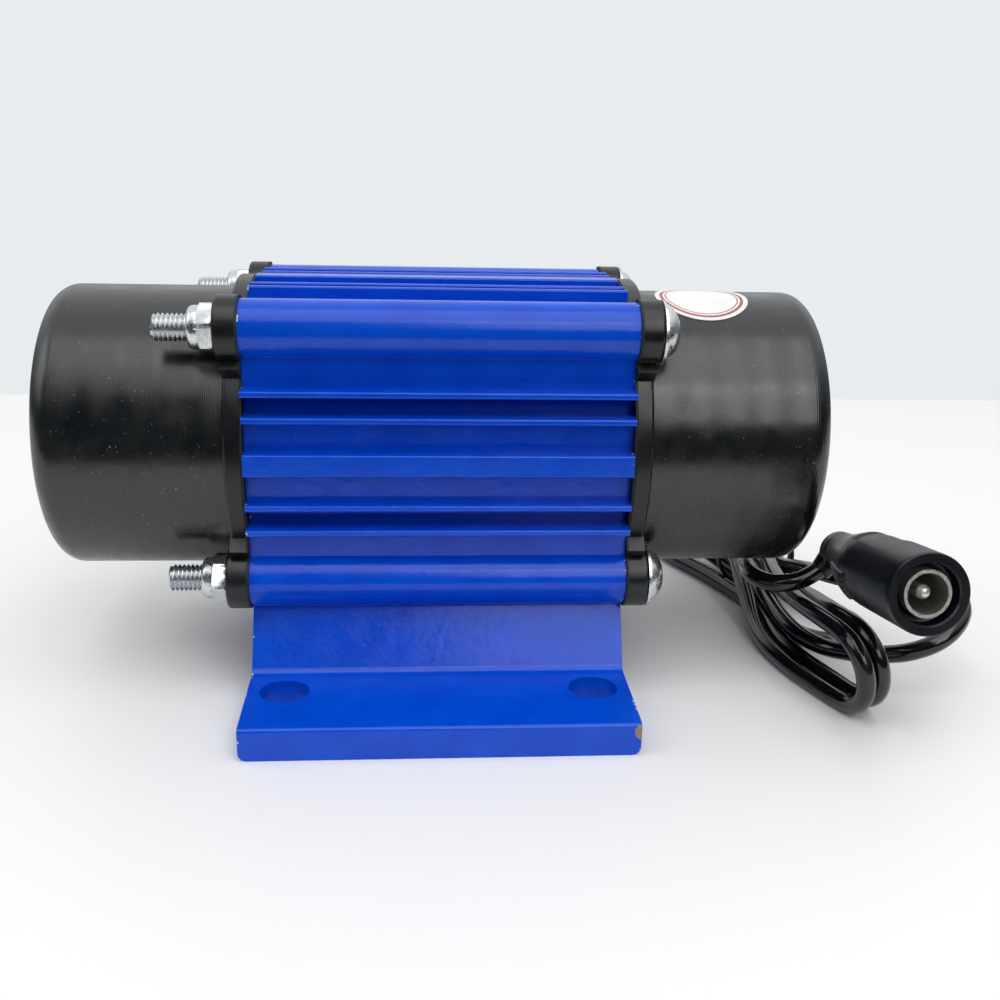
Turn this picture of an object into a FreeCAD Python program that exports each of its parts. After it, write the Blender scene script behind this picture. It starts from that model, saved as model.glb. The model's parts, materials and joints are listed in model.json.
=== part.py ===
"""Small DC vibration motor: a finned foot-mounted housing with an unbalanced rotor inside.

Frame: X along the motor axis, Y across the feet, Z up. The origin lies on the mounting surface,
under the middle of the housing. Lengths are millimetres.
"""

import FreeCAD
import Part
import Sketcher
import math
import os

# name, value, meaning: the driving dimensions, kept in the spreadsheet
SIZES = [
    ("housing_length", 70.0, "length of the extrusion"),
    ("axis_height", 46.5, "motor axis above the mounting surface"),
    ("bolt_offset", 23.5, "tie screw centre from the axis, across and up"),
    ("lobe_radius", 5.2, "screw lobe of the extrusion"),
    ("wall_low", 25.3, "flat wall beside the lobes, from the axis"),
    ("wall_mid", 26.4, "flat wall between the inner fins, from the axis"),
    ("groove_floor", 24.0, "floor of the groove between paired fins, from the axis"),
    ("fin_inner", 8.1, "inner fin centre from the middle of its side"),
    ("fin_outer", 12.85, "outer fin centre from the middle of its side"),
    ("fin_thickness", 1.2, "fin thickness"),
    ("fin_reach", 29.4, "fin tip from the axis"),
    ("boss_half", 2.05, "half width of the flat middle rib"),
    ("boss_reach", 29.8, "face of the flat middle rib from the axis"),
    ("bore_radius", 21.8, "bore of the extrusion"),
    ("screw_hole", 2.75, "radius of the tie screw holes"),
    ("foot_reach", 50.8, "outer edge of a foot from the middle"),
    ("foot_thickness", 6.1, "foot flange thickness"),
    ("foot_bend", 30.2, "where the sloping web meets the flange, from the middle"),
    ("neck_reach", 23.9, "where the web meets the lower lobe, from the middle"),
    ("neck_height", 17.35, "the same place above the mounting surface"),
    ("web_width", 5.7, "web thickness measured across"),
    ("foot_corner", 1.6, "rounding of the flange's lower ends"),
    ("foot_edge", 0.8, "rounding of the flange's upper outer edge"),
    ("web_root", 2.0, "hollow rounding where the web meets the flange"),
    ("fin_rounding", 0.4, "rounding of the fin tips and of the middle rib"),
    ("slot_half", 4.2, "half width of a mounting slot"),
    ("slot_length", 9.0, "end to end length of a mounting slot"),
    ("slot_pitch_along", 56.5, "mounting slot spacing along the axis"),
    ("slot_pitch_across", 74.0, "mounting slot spacing across the axis"),
    ("gasket_thickness", 0.4, "gasket under each end shield"),
    ("shield_radius", 29.6, "outer ring of an end shield"),
    ("shield_thickness", 3.0, "ring thickness"),
    ("lug_radius", 5.8, "end shield lug"),
    ("lug_thickness", 3.9, "lug thickness"),
    ("ear_half", 7.5, "half width of the web that joins a lug to the ring"),
    ("ear_reach", 31.5, "outer edge of that web from the axis"),
    ("spigot_start", 28.0, "inner end of the spigot from the middle of the motor"),
    ("spigot_inner", 19.0, "inner radius of the spigot"),
    ("hub_start", 30.0, "inner end of the bearing hub"),
    ("hub_radius", 16.0, "outer radius of the bearing hub"),
    ("hub_lip", 9.0, "radius of the hole behind the bearing"),
    ("shield_web", 33.4, "inner face of the shield's plate"),
    ("cover_seat", 2.4, "length of the shoulder that the cover sits on"),
    ("cover_radius", 27.3, "outside of a weight cover"),
    ("cover_wall", 2.3, "cover wall thickness"),
    ("cover_floor", 3.0, "cover end thickness"),
    ("cover_end", 72.9, "end of a cover from the middle of the motor"),
    ("cover_rounding", 4.0, "rounding of the cover's outer edge"),
    ("shield_rounding", 0.6, "rounding of the shield's ring and lugs"),
    ("shaft_radius", 5.0, "shaft under the bearings and weights"),
    ("shaft_middle", 6.0, "shaft between the bearings"),
    ("shaft_end", 66.0, "end of the shaft from the middle of the motor"),
    ("bearing_start", 31.0, "inner face of a bearing from the middle of the motor"),
    ("bearing_width", 8.0, "bearing width"),
    ("bearing_radius", 13.0, "outside of a bearing"),
    ("inner_shoulder", 7.4, "outside of the inner ring"),
    ("outer_shoulder", 10.8, "inside of the outer ring"),
    ("ball_pitch", 9.0, "ball centres from the axis"),
    ("ball_radius", 2.38, "ball radius"),
    ("race_radius", 2.45, "raceway groove radius"),
    ("spacer_length", 4.0, "sleeve between bearing and weight"),
    ("spacer_radius", 8.0, "outside of that sleeve"),
    ("weight_radius", 20.5, "eccentric weight"),
    ("weight_length", 18.0, "eccentric weight along the shaft"),
    ("weight_hub", 10.5, "clamping hub of the weight"),
    ("weight_slit", 0.8, "half width of the hub's clamping slit"),
    ("clamp_height", 7.8, "clamp screw above the axis"),
    ("clamp_radius", 1.5, "clamp screw thread, outside"),
    ("clamp_head", 2.7, "clamp screw head radius"),
    ("clamp_seat", 6.3, "face under the clamp screw's head, from the axis"),
    ("clamp_reach", 13.0, "clamp screw length"),
    ("clamp_head_height", 3.0, "clamp screw head height"),
    ("clip_radius", 7.6, "outside of a retaining ring"),
    ("clip_thickness", 1.1, "retaining ring thickness"),
    ("clip_opening", 1.6, "half width of the retaining ring's opening"),
    ("clip_groove", 0.4, "depth of the shaft's groove for it"),
    ("core_start", -19.0, "left end of the lamination stack"),
    ("core_end", 7.0, "right end of the lamination stack"),
    ("core_radius", 15.4, "outside of the lamination stack"),
    ("slot_centre", 11.4, "winding slot centre from the axis"),
    ("slot_bore", 2.0, "winding slot radius"),
    ("slot_mouth", 0.7, "half width of a winding slot's mouth"),
    ("turn_reach", 5.5, "winding overhang at each end"),
    ("turn_slope", 1.2, "how much shorter the overhang is at its outside"),
    ("turn_overlap", 0.5, "how far the slot copper reaches into the overhang"),
    ("yoke_inner", 19.3, "inside of the steel yoke"),
    ("yoke_end", 14.0, "right end of the yoke"),
    ("magnet_inner", 15.9, "inside of a magnet"),
    ("magnet_half_angle", 68.0, "half the angle that a magnet covers, in degrees"),
    ("commutator_radius", 9.0, "outside of the commutator"),
    ("commutator_hub", 7.2, "insulating hub of the commutator"),
    ("commutator_start", 14.0, "left end of the commutator"),
    ("commutator_end", 25.0, "right end of the commutator"),
    ("brush_half", 2.5, "half width of a brush"),
    ("brush_start", 9.15, "brush tip from the axis"),
    ("brush_end", 16.0, "back of a brush from the axis"),
    ("holder_half", 3.6, "half width of a brush holder"),
    ("holder_start", 10.4, "mouth of a brush holder from the axis"),
    ("holder_end", 20.2, "back of a brush holder from the axis"),
    ("plate_start", 26.0, "left face of the brush plate"),
    ("plate_inner", 10.6, "hole of the brush plate"),
    ("skirt_inner", 20.6, "inside of the brush plate's skirt"),
    ("fit_gap", 0.03, "radial gap of located parts"),
    ("washer_radius", 5.75, "washer under a screw head"),
    ("washer_thickness", 0.5, "washer thickness"),
    ("screw_radius", 2.5, "tie screw thread, outside"),
    ("screw_length", 90.0, "tie screw length under the head"),
    ("head_radius", 5.0, "tie screw head"),
    ("head_height", 3.1, "tie screw head height"),
    ("nut_flats", 8.0, "lock nut across flats"),
    ("nut_hex", 3.3, "height of the lock nut's hexagon"),
    ("nut_height", 4.7, "lock nut height"),
    ("nut_collar", 3.6, "radius of the lock nut's collar"),
    ("nut_collar_wall", 0.5, "wall of the lock nut's collar"),
    ("nut_chamfer", 0.35, "how far the nut's corners are turned down along its axis"),
    ("gland_place", 46.0, "cable gland from the middle of the motor"),
    ("gland_angle", 115.0, "gland direction, turned about the axis from straight up to the back"),
    ("gland_hole", 3.4, "hole for the gland"),
    ("gland_flange", 4.5, "gland flange radius"),
    ("gland_start", 22.8, "inner end of the gland from the axis"),
    ("gland_collar", 29.0, "end of the gland's outer flange from the axis"),
    ("gland_end", 41.0, "end of the gland's sleeve from the axis"),
    ("gland_root", 3.0, "radius of the sleeve at the flange"),
    ("gland_tip", 2.2, "radius of the sleeve at its end"),
    ("cord_radius", 1.8, "outside of the cord"),
    ("lead_radius", 0.65, "inner lead"),
    ("jack_radius", 7.25, "front of the moulded connector"),
    ("jack_length", 45.0, "connector length"),
    ("jack_mouth", 5.2, "recess at the connector's front"),
    ("jack_shell", 4.2, "outside of the metal barrel"),
    ("jack_bore", 3.6, "inside of the metal barrel"),
    ("jack_pin", 1.25, "centre pin"),
    ("jack_depth", 11.0, "depth of the connector's opening"),
    ("jack_tail", 3.9, "connector radius at the cord"),
]


class Size:
    """A length with the sheet expression that gives it, so that arithmetic keeps the binding."""

    def __init__(self, value, text):
        self.value = value
        self.text = text

    def __add__(self, other):
        other = as_size(other)
        return Size(self.value + other.value, f"({self.text} + {other.text})")

    def __sub__(self, other):
        other = as_size(other)
        return Size(self.value - other.value, f"({self.text} - {other.text})")

    def __mul__(self, other):
        other = as_size(other)
        return Size(self.value * other.value, f"({self.text} * {other.text})")

    def __truediv__(self, other):
        other = as_size(other)
        return Size(self.value / other.value, f"({self.text} / {other.text})")

    def __neg__(self):
        return Size(-self.value, f"(0 - {self.text})")

    __radd__ = __add__
    __rmul__ = __mul__

    def __rsub__(self, other):
        return as_size(other) - self


def as_size(number):
    return number if isinstance(number, Size) else Size(float(number), repr(float(number)))


doc = FreeCAD.newDocument("VibrationMotor")
sheet = doc.addObject("Spreadsheet::Sheet", "Sizes")


class Sheet:
    """The sheet's cells as Size attributes."""


for row, (name, number, meaning) in enumerate(SIZES, start=1):
    sheet.set(f"A{row}", name)
    sheet.set(f"B{row}", str(number))
    sheet.set(f"C{row}", meaning)
    sheet.setAlias(f"B{row}", name)
    setattr(Sheet, name, Size(number, f"Sizes.{name}"))
doc.recompute()

S = Sheet
HALF_ROOT = Size(math.sqrt(0.5), "sqrt(0.5)")
SIDES = {"left": -1, "right": 1}
BOLT_COUNT = 4
subparts = []


# ---------------------------------------------------------------- helpers


def bind(thing, prop, size):
    """Set a property and tie it to the sheet."""
    size = as_size(size)
    setattr(thing, prop, size.value)
    thing.setExpression(prop, size.text)


def new_body(label, on_axis=True):
    """Start a sub-part. On the axis its local X is the motor axis; otherwise it stands on Z = 0."""
    body = doc.addObject("PartDesign::Body", label)
    body.Label = label
    if on_axis:
        body.Placement.Base.z = S.axis_height.value
        body.setExpression(".Placement.Base.z", S.axis_height.text)
    subparts.append(body)
    return body


def origin_feature(body, role):
    return next(item for item in body.Origin.OriginFeatures if item.Role == role)


def new_sketch(body, role, offset=None):
    sketch = body.newObject("Sketcher::SketchObject", f"{body.Label}_sketch")
    sketch.AttachmentSupport = (origin_feature(body, role), [""])
    sketch.MapMode = "FlatFace"
    if offset is not None:
        sketch.AttachmentOffset = offset
    return sketch


def pin_point(sketch, geometry, end, across, up):
    """Fix one point of a sketch at sheet-driven distances from the sketch's origin."""
    for kind, size, axis in (("DistanceX", across, -2), ("DistanceY", up, -1)):
        size = as_size(size)
        if size.value == 0.0:
            sketch.addConstraint(Sketcher.Constraint("PointOnObject", geometry, end, axis))
        else:
            index = sketch.addConstraint(Sketcher.Constraint(kind, -1, 1, geometry, end, size.value))
            sketch.setExpression(f"Constraints[{index}]", size.text)


def add_outline(sketch, corners):
    """Draw a closed straight-sided outline whose corners are tied to the sheet."""
    points = [FreeCAD.Vector(as_size(u).value, as_size(v).value, 0) for u, v in corners]
    first = sketch.GeometryCount
    count = len(points)
    for index in range(count):
        sketch.addGeometry(Part.LineSegment(points[index], points[(index + 1) % count]))
    for index in range(count):
        following = first + (index + 1) % count
        sketch.addConstraint(Sketcher.Constraint("Coincident", first + index, 2, following, 1))
    for index, (u, v) in enumerate(corners):
        pin_point(sketch, first + index, 1, u, v)


def add_circle(sketch, across, up, radius):
    centre = FreeCAD.Vector(as_size(across).value, as_size(up).value, 0)
    radius = as_size(radius)
    index = sketch.addGeometry(Part.Circle(centre, FreeCAD.Vector(0, 0, 1), radius.value))
    pin_point(sketch, index, 3, across, up)
    constraint = sketch.addConstraint(Sketcher.Constraint("Radius", index, radius.value))
    sketch.setExpression(f"Constraints[{constraint}]", radius.text)


def shifted_along(distance):
    """Sketch offset along its plane's normal."""
    return FreeCAD.Placement(FreeCAD.Vector(0, 0, as_size(distance).value), FreeCAD.Rotation())


def add_feature(body, kind, sketch, **settings):
    feature = body.newObject(f"PartDesign::{kind}", f"{body.Label}_{kind.lower()}")
    feature.Profile = sketch
    for prop, setting in settings.items():
        if isinstance(setting, Size):
            bind(feature, prop, setting)
        else:
            setattr(feature, prop, setting)
    sketch.Visibility = False
    return feature


def bind_offset(sketch, size):
    sketch.setExpression(".AttachmentOffset.Base.z", as_size(size).text)


def across_axis_sketch(body, place):
    """A sketch square to the motor axis, at a distance along it. Its own X is Y and its Y is Z."""
    sketch = new_sketch(body, "YZ_Plane", shifted_along(place))
    bind_offset(sketch, place)
    return sketch


def pad(body, sketch, length, backwards=False):
    return add_feature(body, "Pad", sketch, Length=as_size(length), Reversed=backwards)


def cut(body, sketch, length, forwards=False):
    """Cut against the sketch's normal, or along it when forwards is set."""
    doc.recompute()
    before = body.Shape.Volume
    feature = add_feature(body, "Pocket", sketch, Length=as_size(length), Reversed=forwards)
    doc.recompute()
    if not body.Shape.Volume < before - 1e-6:
        raise RuntimeError(f"{feature.Name} cuts nothing")
    return feature


def turned(label, outline, on_axis=True):
    """A sub-part turned about its local X axis from (place along the axis, radius) corners."""
    body = new_body(label, on_axis)
    sketch = new_sketch(body, "XZ_Plane")
    add_outline(sketch, outline)
    add_feature(body, "Revolution", sketch, ReferenceAxis=(sketch, ["H_Axis"]), Angle=360.0)
    return body


def repeat(body, feature, count):
    """Repeat a feature round the motor axis."""
    pattern = body.newObject("PartDesign::PolarPattern", f"{body.Label}_pattern")
    pattern.Originals = [feature]
    pattern.Axis = (origin_feature(body, "X_Axis"), [""])
    pattern.Angle = 360.0
    pattern.Occurrences = count
    body.Tip = pattern
    return pattern


def round_edges(body, radius, wanted):
    """Round the edges whose middle point passes the test wanted(point, edge)."""
    doc.recompute()
    tip = body.Tip
    names = []
    for index, edge in enumerate(tip.Shape.Edges, start=1):
        middle = edge.valueAt((edge.FirstParameter + edge.LastParameter) / 2)
        if wanted(middle, edge):
            names.append(f"Edge{index}")
    if not names:
        raise RuntimeError(f"no edge to round on {body.Label}")
    fillet = body.newObject("PartDesign::Fillet", f"{body.Label}_fillet")
    fillet.Base = (tip, names)
    bind(fillet, "Radius", radius)
    return fillet


def mirrored(side, corners):
    """Turn an outline made for the right-hand end into one for the given side."""
    return [(as_size(u) * SIDES[side], v) for u, v in corners]


# ---------------------------------------------------------------- housing


def side_teeth():
    """Half of one finned side, from its middle outwards: (along the side, out from the axis)."""
    half = S.fin_thickness / 2
    return [
        (S.boss_half, S.boss_reach),
        (S.boss_half, S.wall_mid),
        (S.fin_inner - half, S.wall_mid),
        (S.fin_inner - half, S.fin_reach),
        (S.fin_inner + half, S.fin_reach),
        (S.fin_inner + half, S.groove_floor),
        (S.fin_outer - half, S.groove_floor),
        (S.fin_outer - half, S.fin_reach),
        (S.fin_outer + half, S.fin_reach),
        (S.fin_outer + half, S.wall_low),
    ]


def housing_half_section():
    """The extrusion's outline from the middle of the underside round to the middle of the top."""
    axis = S.axis_height
    slope = (S.foot_bend - S.neck_reach) / (S.neck_height - S.foot_thickness)
    underside = axis - S.wall_low
    inner_foot = S.foot_bend + S.foot_thickness * slope - S.web_width
    inner_top = inner_foot - underside * slope
    legs = [
        (inner_top, underside),
        (inner_foot, 0),
        (S.foot_reach, 0),
        (S.foot_reach, S.foot_thickness),
        (S.foot_bend, S.foot_thickness),
        (S.neck_reach, S.neck_height),
        (S.neck_reach, axis - S.bolt_offset),
        (S.wall_low, axis - S.bolt_offset),
    ]
    teeth = side_teeth()
    lower = [(out, axis - along) for along, out in reversed(teeth)]
    upper = [(out, axis + along) for along, out in teeth]
    top = [(along, axis + out) for along, out in reversed(teeth)]
    return legs + lower + upper + [(S.wall_low, axis + S.wall_low)] + top


def make_housing():
    body = new_body("housing", on_axis=False)
    half = housing_half_section()
    section = across_axis_sketch(body, -S.housing_length / 2)
    add_outline(section, half + [(-u, v) for u, v in reversed(half)])
    pad(body, section, S.housing_length)
    lobes = across_axis_sketch(body, -S.housing_length / 2)
    holes = across_axis_sketch(body, -S.housing_length / 2)
    for across in (-1, 1):
        for up in (-1, 1):
            centre = (S.bolt_offset * across, S.axis_height + S.bolt_offset * up)
            add_circle(lobes, *centre, S.lobe_radius)
            add_circle(holes, *centre, S.screw_hole)
    add_circle(holes, 0, S.axis_height, S.bore_radius)
    pad(body, lobes, S.housing_length)
    cut(body, holes, S.housing_length, forwards=True)
    slots = new_sketch(body, "XY_Plane")
    for along in (-1, 1):
        for across in (-1, 1):
            add_slot(slots, S.slot_pitch_along / 2 * along, S.slot_pitch_across / 2 * across)
    cut(body, slots, S.foot_thickness, forwards=True)
    half_length = S.housing_length.value / 2

    def lower_end(point, edge):
        return abs(abs(point.x) - half_length) < 0.01 and point.z < 0.01 and edge.Length > 5

    round_edges(body, S.foot_corner, lower_end)
    round_long_edges(body)
    return body


def round_long_edges(body):
    """Round the edges that run along the extrusion: fin tips, middle ribs and feet."""
    axis = S.axis_height.value

    def runs_along(edge):
        return edge.BoundBox.YLength < 0.01 and edge.BoundBox.ZLength < 0.01 and edge.Length > 40

    def tip(point, edge):
        reach = max(abs(point.y), point.z - axis)
        tips = (S.fin_reach.value, S.boss_reach.value)
        return runs_along(edge) and any(abs(reach - tip) < 0.01 for tip in tips)

    def web_root(point, edge):
        at_bend = abs(abs(point.y) - S.foot_bend.value) < 0.01
        return runs_along(edge) and at_bend and abs(point.z - S.foot_thickness.value) < 0.01

    def foot_edge(point, edge):
        at_edge = abs(abs(point.y) - S.foot_reach.value) < 0.01
        return runs_along(edge) and at_edge and abs(point.z - S.foot_thickness.value) < 0.01

    round_edges(body, S.fin_rounding, tip)
    round_edges(body, S.web_root, web_root)
    round_edges(body, S.foot_edge, foot_edge)


def add_slot(sketch, along, across):
    """A round-ended slot that runs along the motor axis."""
    half_run = S.slot_length / 2 - S.slot_half
    first = sketch.GeometryCount
    up = FreeCAD.Vector(0, 0, 1)
    radius = S.slot_half.value
    ends = [(along + half_run, -90, 90), (along - half_run, 90, 270)]
    for place, start, stop in ends:
        centre = FreeCAD.Vector(as_size(place).value, as_size(across).value, 0)
        circle = Part.Circle(centre, up, radius)
        sketch.addGeometry(Part.ArcOfCircle(circle, math.radians(start), math.radians(stop)))
    right, left = first, first + 1
    low, high = as_size(across) - S.slot_half, as_size(across) + S.slot_half
    west, east = ends[1][0], ends[0][0]
    for level in (high, low):
        sketch.addGeometry(
            Part.LineSegment(
                FreeCAD.Vector(east.value, level.value, 0), FreeCAD.Vector(west.value, level.value, 0)
            )
        )
    upper, lower = first + 2, first + 3
    for pair in ((right, 2, upper, 1), (upper, 2, left, 1), (left, 2, lower, 2), (lower, 1, right, 1)):
        sketch.addConstraint(Sketcher.Constraint("Tangent", *pair))
    pin_point(sketch, right, 3, east, across)
    pin_point(sketch, left, 3, west, across)
    sketch.addConstraint(Sketcher.Constraint("Equal", right, left))
    index = sketch.addConstraint(Sketcher.Constraint("Radius", right, radius))
    sketch.setExpression(f"Constraints[{index}]", S.slot_half.text)


# ---------------------------------------------------------------- end shields, gaskets, covers


def shield_face():
    """Where an end shield's ring starts: the housing's end plus the gasket."""
    return S.housing_length / 2 + S.gasket_thickness


def add_lugs(body, side, start, ear_thickness, lug_thickness):
    """Four screw lugs and the webs that join them to the ring, with their screw holes."""
    place = start * SIDES[side]
    backwards = side == "left"
    inner, outer, half = S.hub_radius * 1.6, S.ear_reach, S.ear_half
    web = across_axis_sketch(body, place)
    corners = [(inner, -half), (outer, -half), (outer, half), (inner, half)]
    add_outline(web, [((u - v) * HALF_ROOT, (u + v) * HALF_ROOT) for u, v in sized(corners)])
    repeat(body, pad(body, web, ear_thickness, backwards), BOLT_COUNT)
    lug = across_axis_sketch(body, place)
    add_circle(lug, S.bolt_offset, S.bolt_offset, S.lug_radius)
    repeat(body, pad(body, lug, lug_thickness, backwards), BOLT_COUNT)
    holes = across_axis_sketch(body, place)
    add_circle(holes, S.bolt_offset, S.bolt_offset, S.screw_hole)
    doc.recompute()
    repeat(body, cut(body, holes, lug_thickness, forwards=not backwards), BOLT_COUNT)


def sized(corners):
    return [(as_size(u), as_size(v)) for u, v in corners]


def make_end_shield(side):
    """Ring with four lugs, a spigot in the housing's bore and a hub that holds the bearing."""
    face = shield_face()
    outboard = face + S.shield_thickness
    seat = S.bearing_radius + S.fit_gap
    spigot = S.bore_radius - S.fit_gap
    shoulder = S.cover_radius - S.cover_wall - S.fit_gap
    hub_end = S.bearing_start + S.bearing_width + 0.2
    outline = [
        (S.hub_start, S.hub_lip),
        (S.hub_start, S.hub_radius),
        (S.shield_web, S.hub_radius),
        (S.shield_web, S.spigot_inner),
        (S.spigot_start, S.spigot_inner),
        (S.spigot_start, spigot),
        (face, spigot),
        (face, S.shield_radius),
        (outboard, S.shield_radius),
        (outboard, shoulder),
        (outboard + S.cover_seat, shoulder),
        (outboard + S.cover_seat, shoulder - S.cover_wall),
        (outboard, shoulder - S.cover_wall),
        (outboard, S.hub_radius),
        (hub_end, S.hub_radius),
        (hub_end, seat),
        (S.bearing_start, seat),
        (S.bearing_start, S.hub_lip),
    ]
    body = turned(f"end_shield_{side}", mirrored(side, outline))
    add_lugs(body, side, face, S.shield_thickness, S.lug_thickness)
    if side == "right":
        openings = across_axis_sketch(body, S.shield_web)
        for angle in LEAD_ANGLES:
            add_circle(openings, *lead_place(LEAD_RING, angle), LEAD_HOLE)
        cut(body, openings, outboard - S.shield_web, forwards=True)
    round_shield(body)
    return body


def round_shield(body):
    """Round the outboard edges of the cast ring and of its lugs."""
    axis, bolt = S.axis_height.value, S.bolt_offset.value
    ring_face = (shield_face() + S.shield_thickness).value
    lug_face = (shield_face() + S.lug_thickness).value

    def lug_rim(point, edge):
        from_bolt = math.hypot(abs(point.y) - bolt, abs(point.z) - bolt)
        on_face = abs(abs(point.x) - lug_face) < 0.01
        return on_face and abs(from_bolt - S.lug_radius.value) < 0.01

    def ring_rim(point, edge):
        from_axis = math.hypot(point.y, point.z)
        on_face = abs(abs(point.x) - ring_face) < 0.01
        return on_face and abs(from_axis - S.shield_radius.value) < 0.01

    round_edges(body, S.shield_rounding, lug_rim)
    round_edges(body, S.shield_rounding, ring_rim)


def make_gasket(side):
    """Flat gasket of the shield's outline, between shield and housing."""
    start = S.housing_length / 2
    body = new_body(f"gasket_{side}")
    ring = across_axis_sketch(body, start * SIDES[side])
    add_circle(ring, 0, 0, S.shield_radius - 0.2)
    add_circle(ring, 0, 0, S.bore_radius)
    pad(body, ring, S.gasket_thickness, side == "left")
    add_lugs(body, side, start, S.gasket_thickness, S.gasket_thickness)
    return body


def make_weight_cover(side):
    """Deep cup over an eccentric weight, pushed onto the shield's shoulder."""
    start = shield_face() + S.shield_thickness
    inner = S.cover_radius - S.cover_wall
    outline = [
        (start, inner),
        (start, S.cover_radius),
        (S.cover_end, S.cover_radius),
        (S.cover_end, 0),
        (S.cover_end - S.cover_floor, 0),
        (S.cover_end - S.cover_floor, inner),
    ]
    body = turned(f"weight_cover_{side}", mirrored(side, outline))
    if side == "right":
        doc.recompute()
        opening = new_sketch(body, "XY_Plane", gland_offset())
        add_circle(opening, S.gland_place, 0, S.gland_hole)
        cut(body, opening, S.cover_radius * 1.2, forwards=True)
    end = S.cover_end.value
    rim = S.cover_radius.value

    def outer_rim(point, edge):
        return abs(abs(point.x) - end) < 0.01 and abs(math.hypot(point.y, point.z) - rim) < 0.01

    def inner_rim(point, edge):
        depth = end - S.cover_floor.value
        radius = math.hypot(point.y, point.z)
        return abs(abs(point.x) - depth) < 0.01 and abs(radius - inner.value) < 0.01

    round_edges(body, S.cover_rounding, outer_rim)
    round_edges(body, S.cover_floor / 2, inner_rim)
    return body


def gland_offset():
    """Turns a sketch plane so that its normal points out along the gland."""
    return FreeCAD.Placement(
        FreeCAD.Vector(0, 0, 0), FreeCAD.Rotation(FreeCAD.Vector(1, 0, 0), -S.gland_angle.value)
    )


# ---------------------------------------------------------------- fasteners


def bolt_sketch(body):
    """A sketch in the plane of one tie screw, whose first line is that screw's centre line."""
    sketch = new_sketch(body, "XZ_Plane", shifted_along(-S.bolt_offset))
    bind_offset(sketch, -S.bolt_offset)
    ends = [FreeCAD.Vector(side * S.cover_end.value, S.bolt_offset.value, 0) for side in (-1, 1)]
    line = sketch.addGeometry(Part.LineSegment(*ends), True)
    pin_point(sketch, line, 1, -S.cover_end, S.bolt_offset)
    pin_point(sketch, line, 2, S.cover_end, S.bolt_offset)
    return sketch


def turned_at_bolt(label, outline):
    """A turned piece round each tie screw's centre line; all four are separate solids of one node."""
    body = new_body(label)
    sketch = bolt_sketch(body)
    add_outline(sketch, [(u, S.bolt_offset + v) for u, v in outline])
    turned_one = add_feature(body, "Revolution", sketch, ReferenceAxis=(sketch, ["Axis0"]), Angle=360.0)
    repeat(body, turned_one, BOLT_COUNT)
    return body


def make_tie_screws():
    """Four long pan head screws that clamp both shields to the housing."""
    under_head = shield_face() + S.lug_thickness + S.washer_thickness
    tip = under_head - S.screw_length
    outline = [
        (tip, 0),
        (tip, S.screw_radius - 0.5),
        (tip + 0.5, S.screw_radius),
        (under_head, S.screw_radius),
        (under_head, S.head_radius),
        (under_head + S.head_height * 0.45, S.head_radius),
        (under_head + S.head_height * 0.85, S.head_radius * 0.72),
        (under_head + S.head_height, S.head_radius * 0.35),
        (under_head + S.head_height, 0),
    ]
    return turned_at_bolt("tie_screws", outline)


def make_washers():
    start = shield_face() + S.lug_thickness
    inner = S.screw_radius + 0.15
    outline = [
        (start, inner),
        (start + S.washer_thickness, inner),
        (start + S.washer_thickness, S.washer_radius),
        (start, S.washer_radius),
    ]
    return turned_at_bolt("washers", outline)


def make_lock_nuts():
    """Four hexagon lock nuts with a round collar that holds the nylon ring."""
    start = -(shield_face() + S.lug_thickness)
    body = new_body("lock_nuts")
    hexagon = across_axis_sketch(body, start)
    corner = S.nut_flats / 2 * Size(2 / math.sqrt(3), "(2 / sqrt(3))")
    flat = S.nut_flats / 2
    shape = [(corner, 0), (corner / 2, flat), (-corner / 2, flat), (-corner, 0)]
    shape += [(-corner / 2, -flat), (corner / 2, -flat)]
    add_outline(hexagon, [(S.bolt_offset + u, S.bolt_offset + v) for u, v in shape])
    add_circle(hexagon, S.bolt_offset, S.bolt_offset, S.screw_radius + S.fit_gap)
    repeat(body, pad(body, hexagon, S.nut_hex, backwards=True), BOLT_COUNT)
    collar = across_axis_sketch(body, start - S.nut_hex)
    add_circle(collar, S.bolt_offset, S.bolt_offset, S.nut_collar)
    add_circle(collar, S.bolt_offset, S.bolt_offset, S.nut_collar - S.nut_collar_wall)
    repeat(body, pad(body, collar, S.nut_height - S.nut_hex, backwards=True), BOLT_COUNT)
    doc.recompute()
    beyond = corner + 1
    turn_down_corners(body, [(start, flat), (start, beyond), (start - S.nut_chamfer, beyond)])
    outer = start - S.nut_hex
    turn_down_corners(body, [(outer, flat), (outer, beyond), (outer + S.nut_chamfer, beyond)])
    return body


def turn_down_corners(body, outline):
    """Turn the hexagons' corners down with a groove round each tie screw's centre line."""
    sketch = bolt_sketch(body)
    add_outline(sketch, [(u, S.bolt_offset + v) for u, v in outline])
    groove = add_feature(body, "Groove", sketch, ReferenceAxis=(sketch, ["Axis0"]), Angle=360.0)
    repeat(body, groove, BOLT_COUNT)


def make_nut_inserts():
    """The nylon rings of the lock nuts."""
    start = -(shield_face() + S.lug_thickness + S.nut_hex)
    outer = S.nut_collar - S.nut_collar_wall - S.fit_gap
    inner = S.screw_radius + S.fit_gap
    length = (S.nut_height - S.nut_hex) * 0.8
    outline = [(start, inner), (start, outer), (start - length, outer), (start - length, inner)]
    return turned_at_bolt("nut_inserts", outline)


# ---------------------------------------------------------------- bearings


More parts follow.
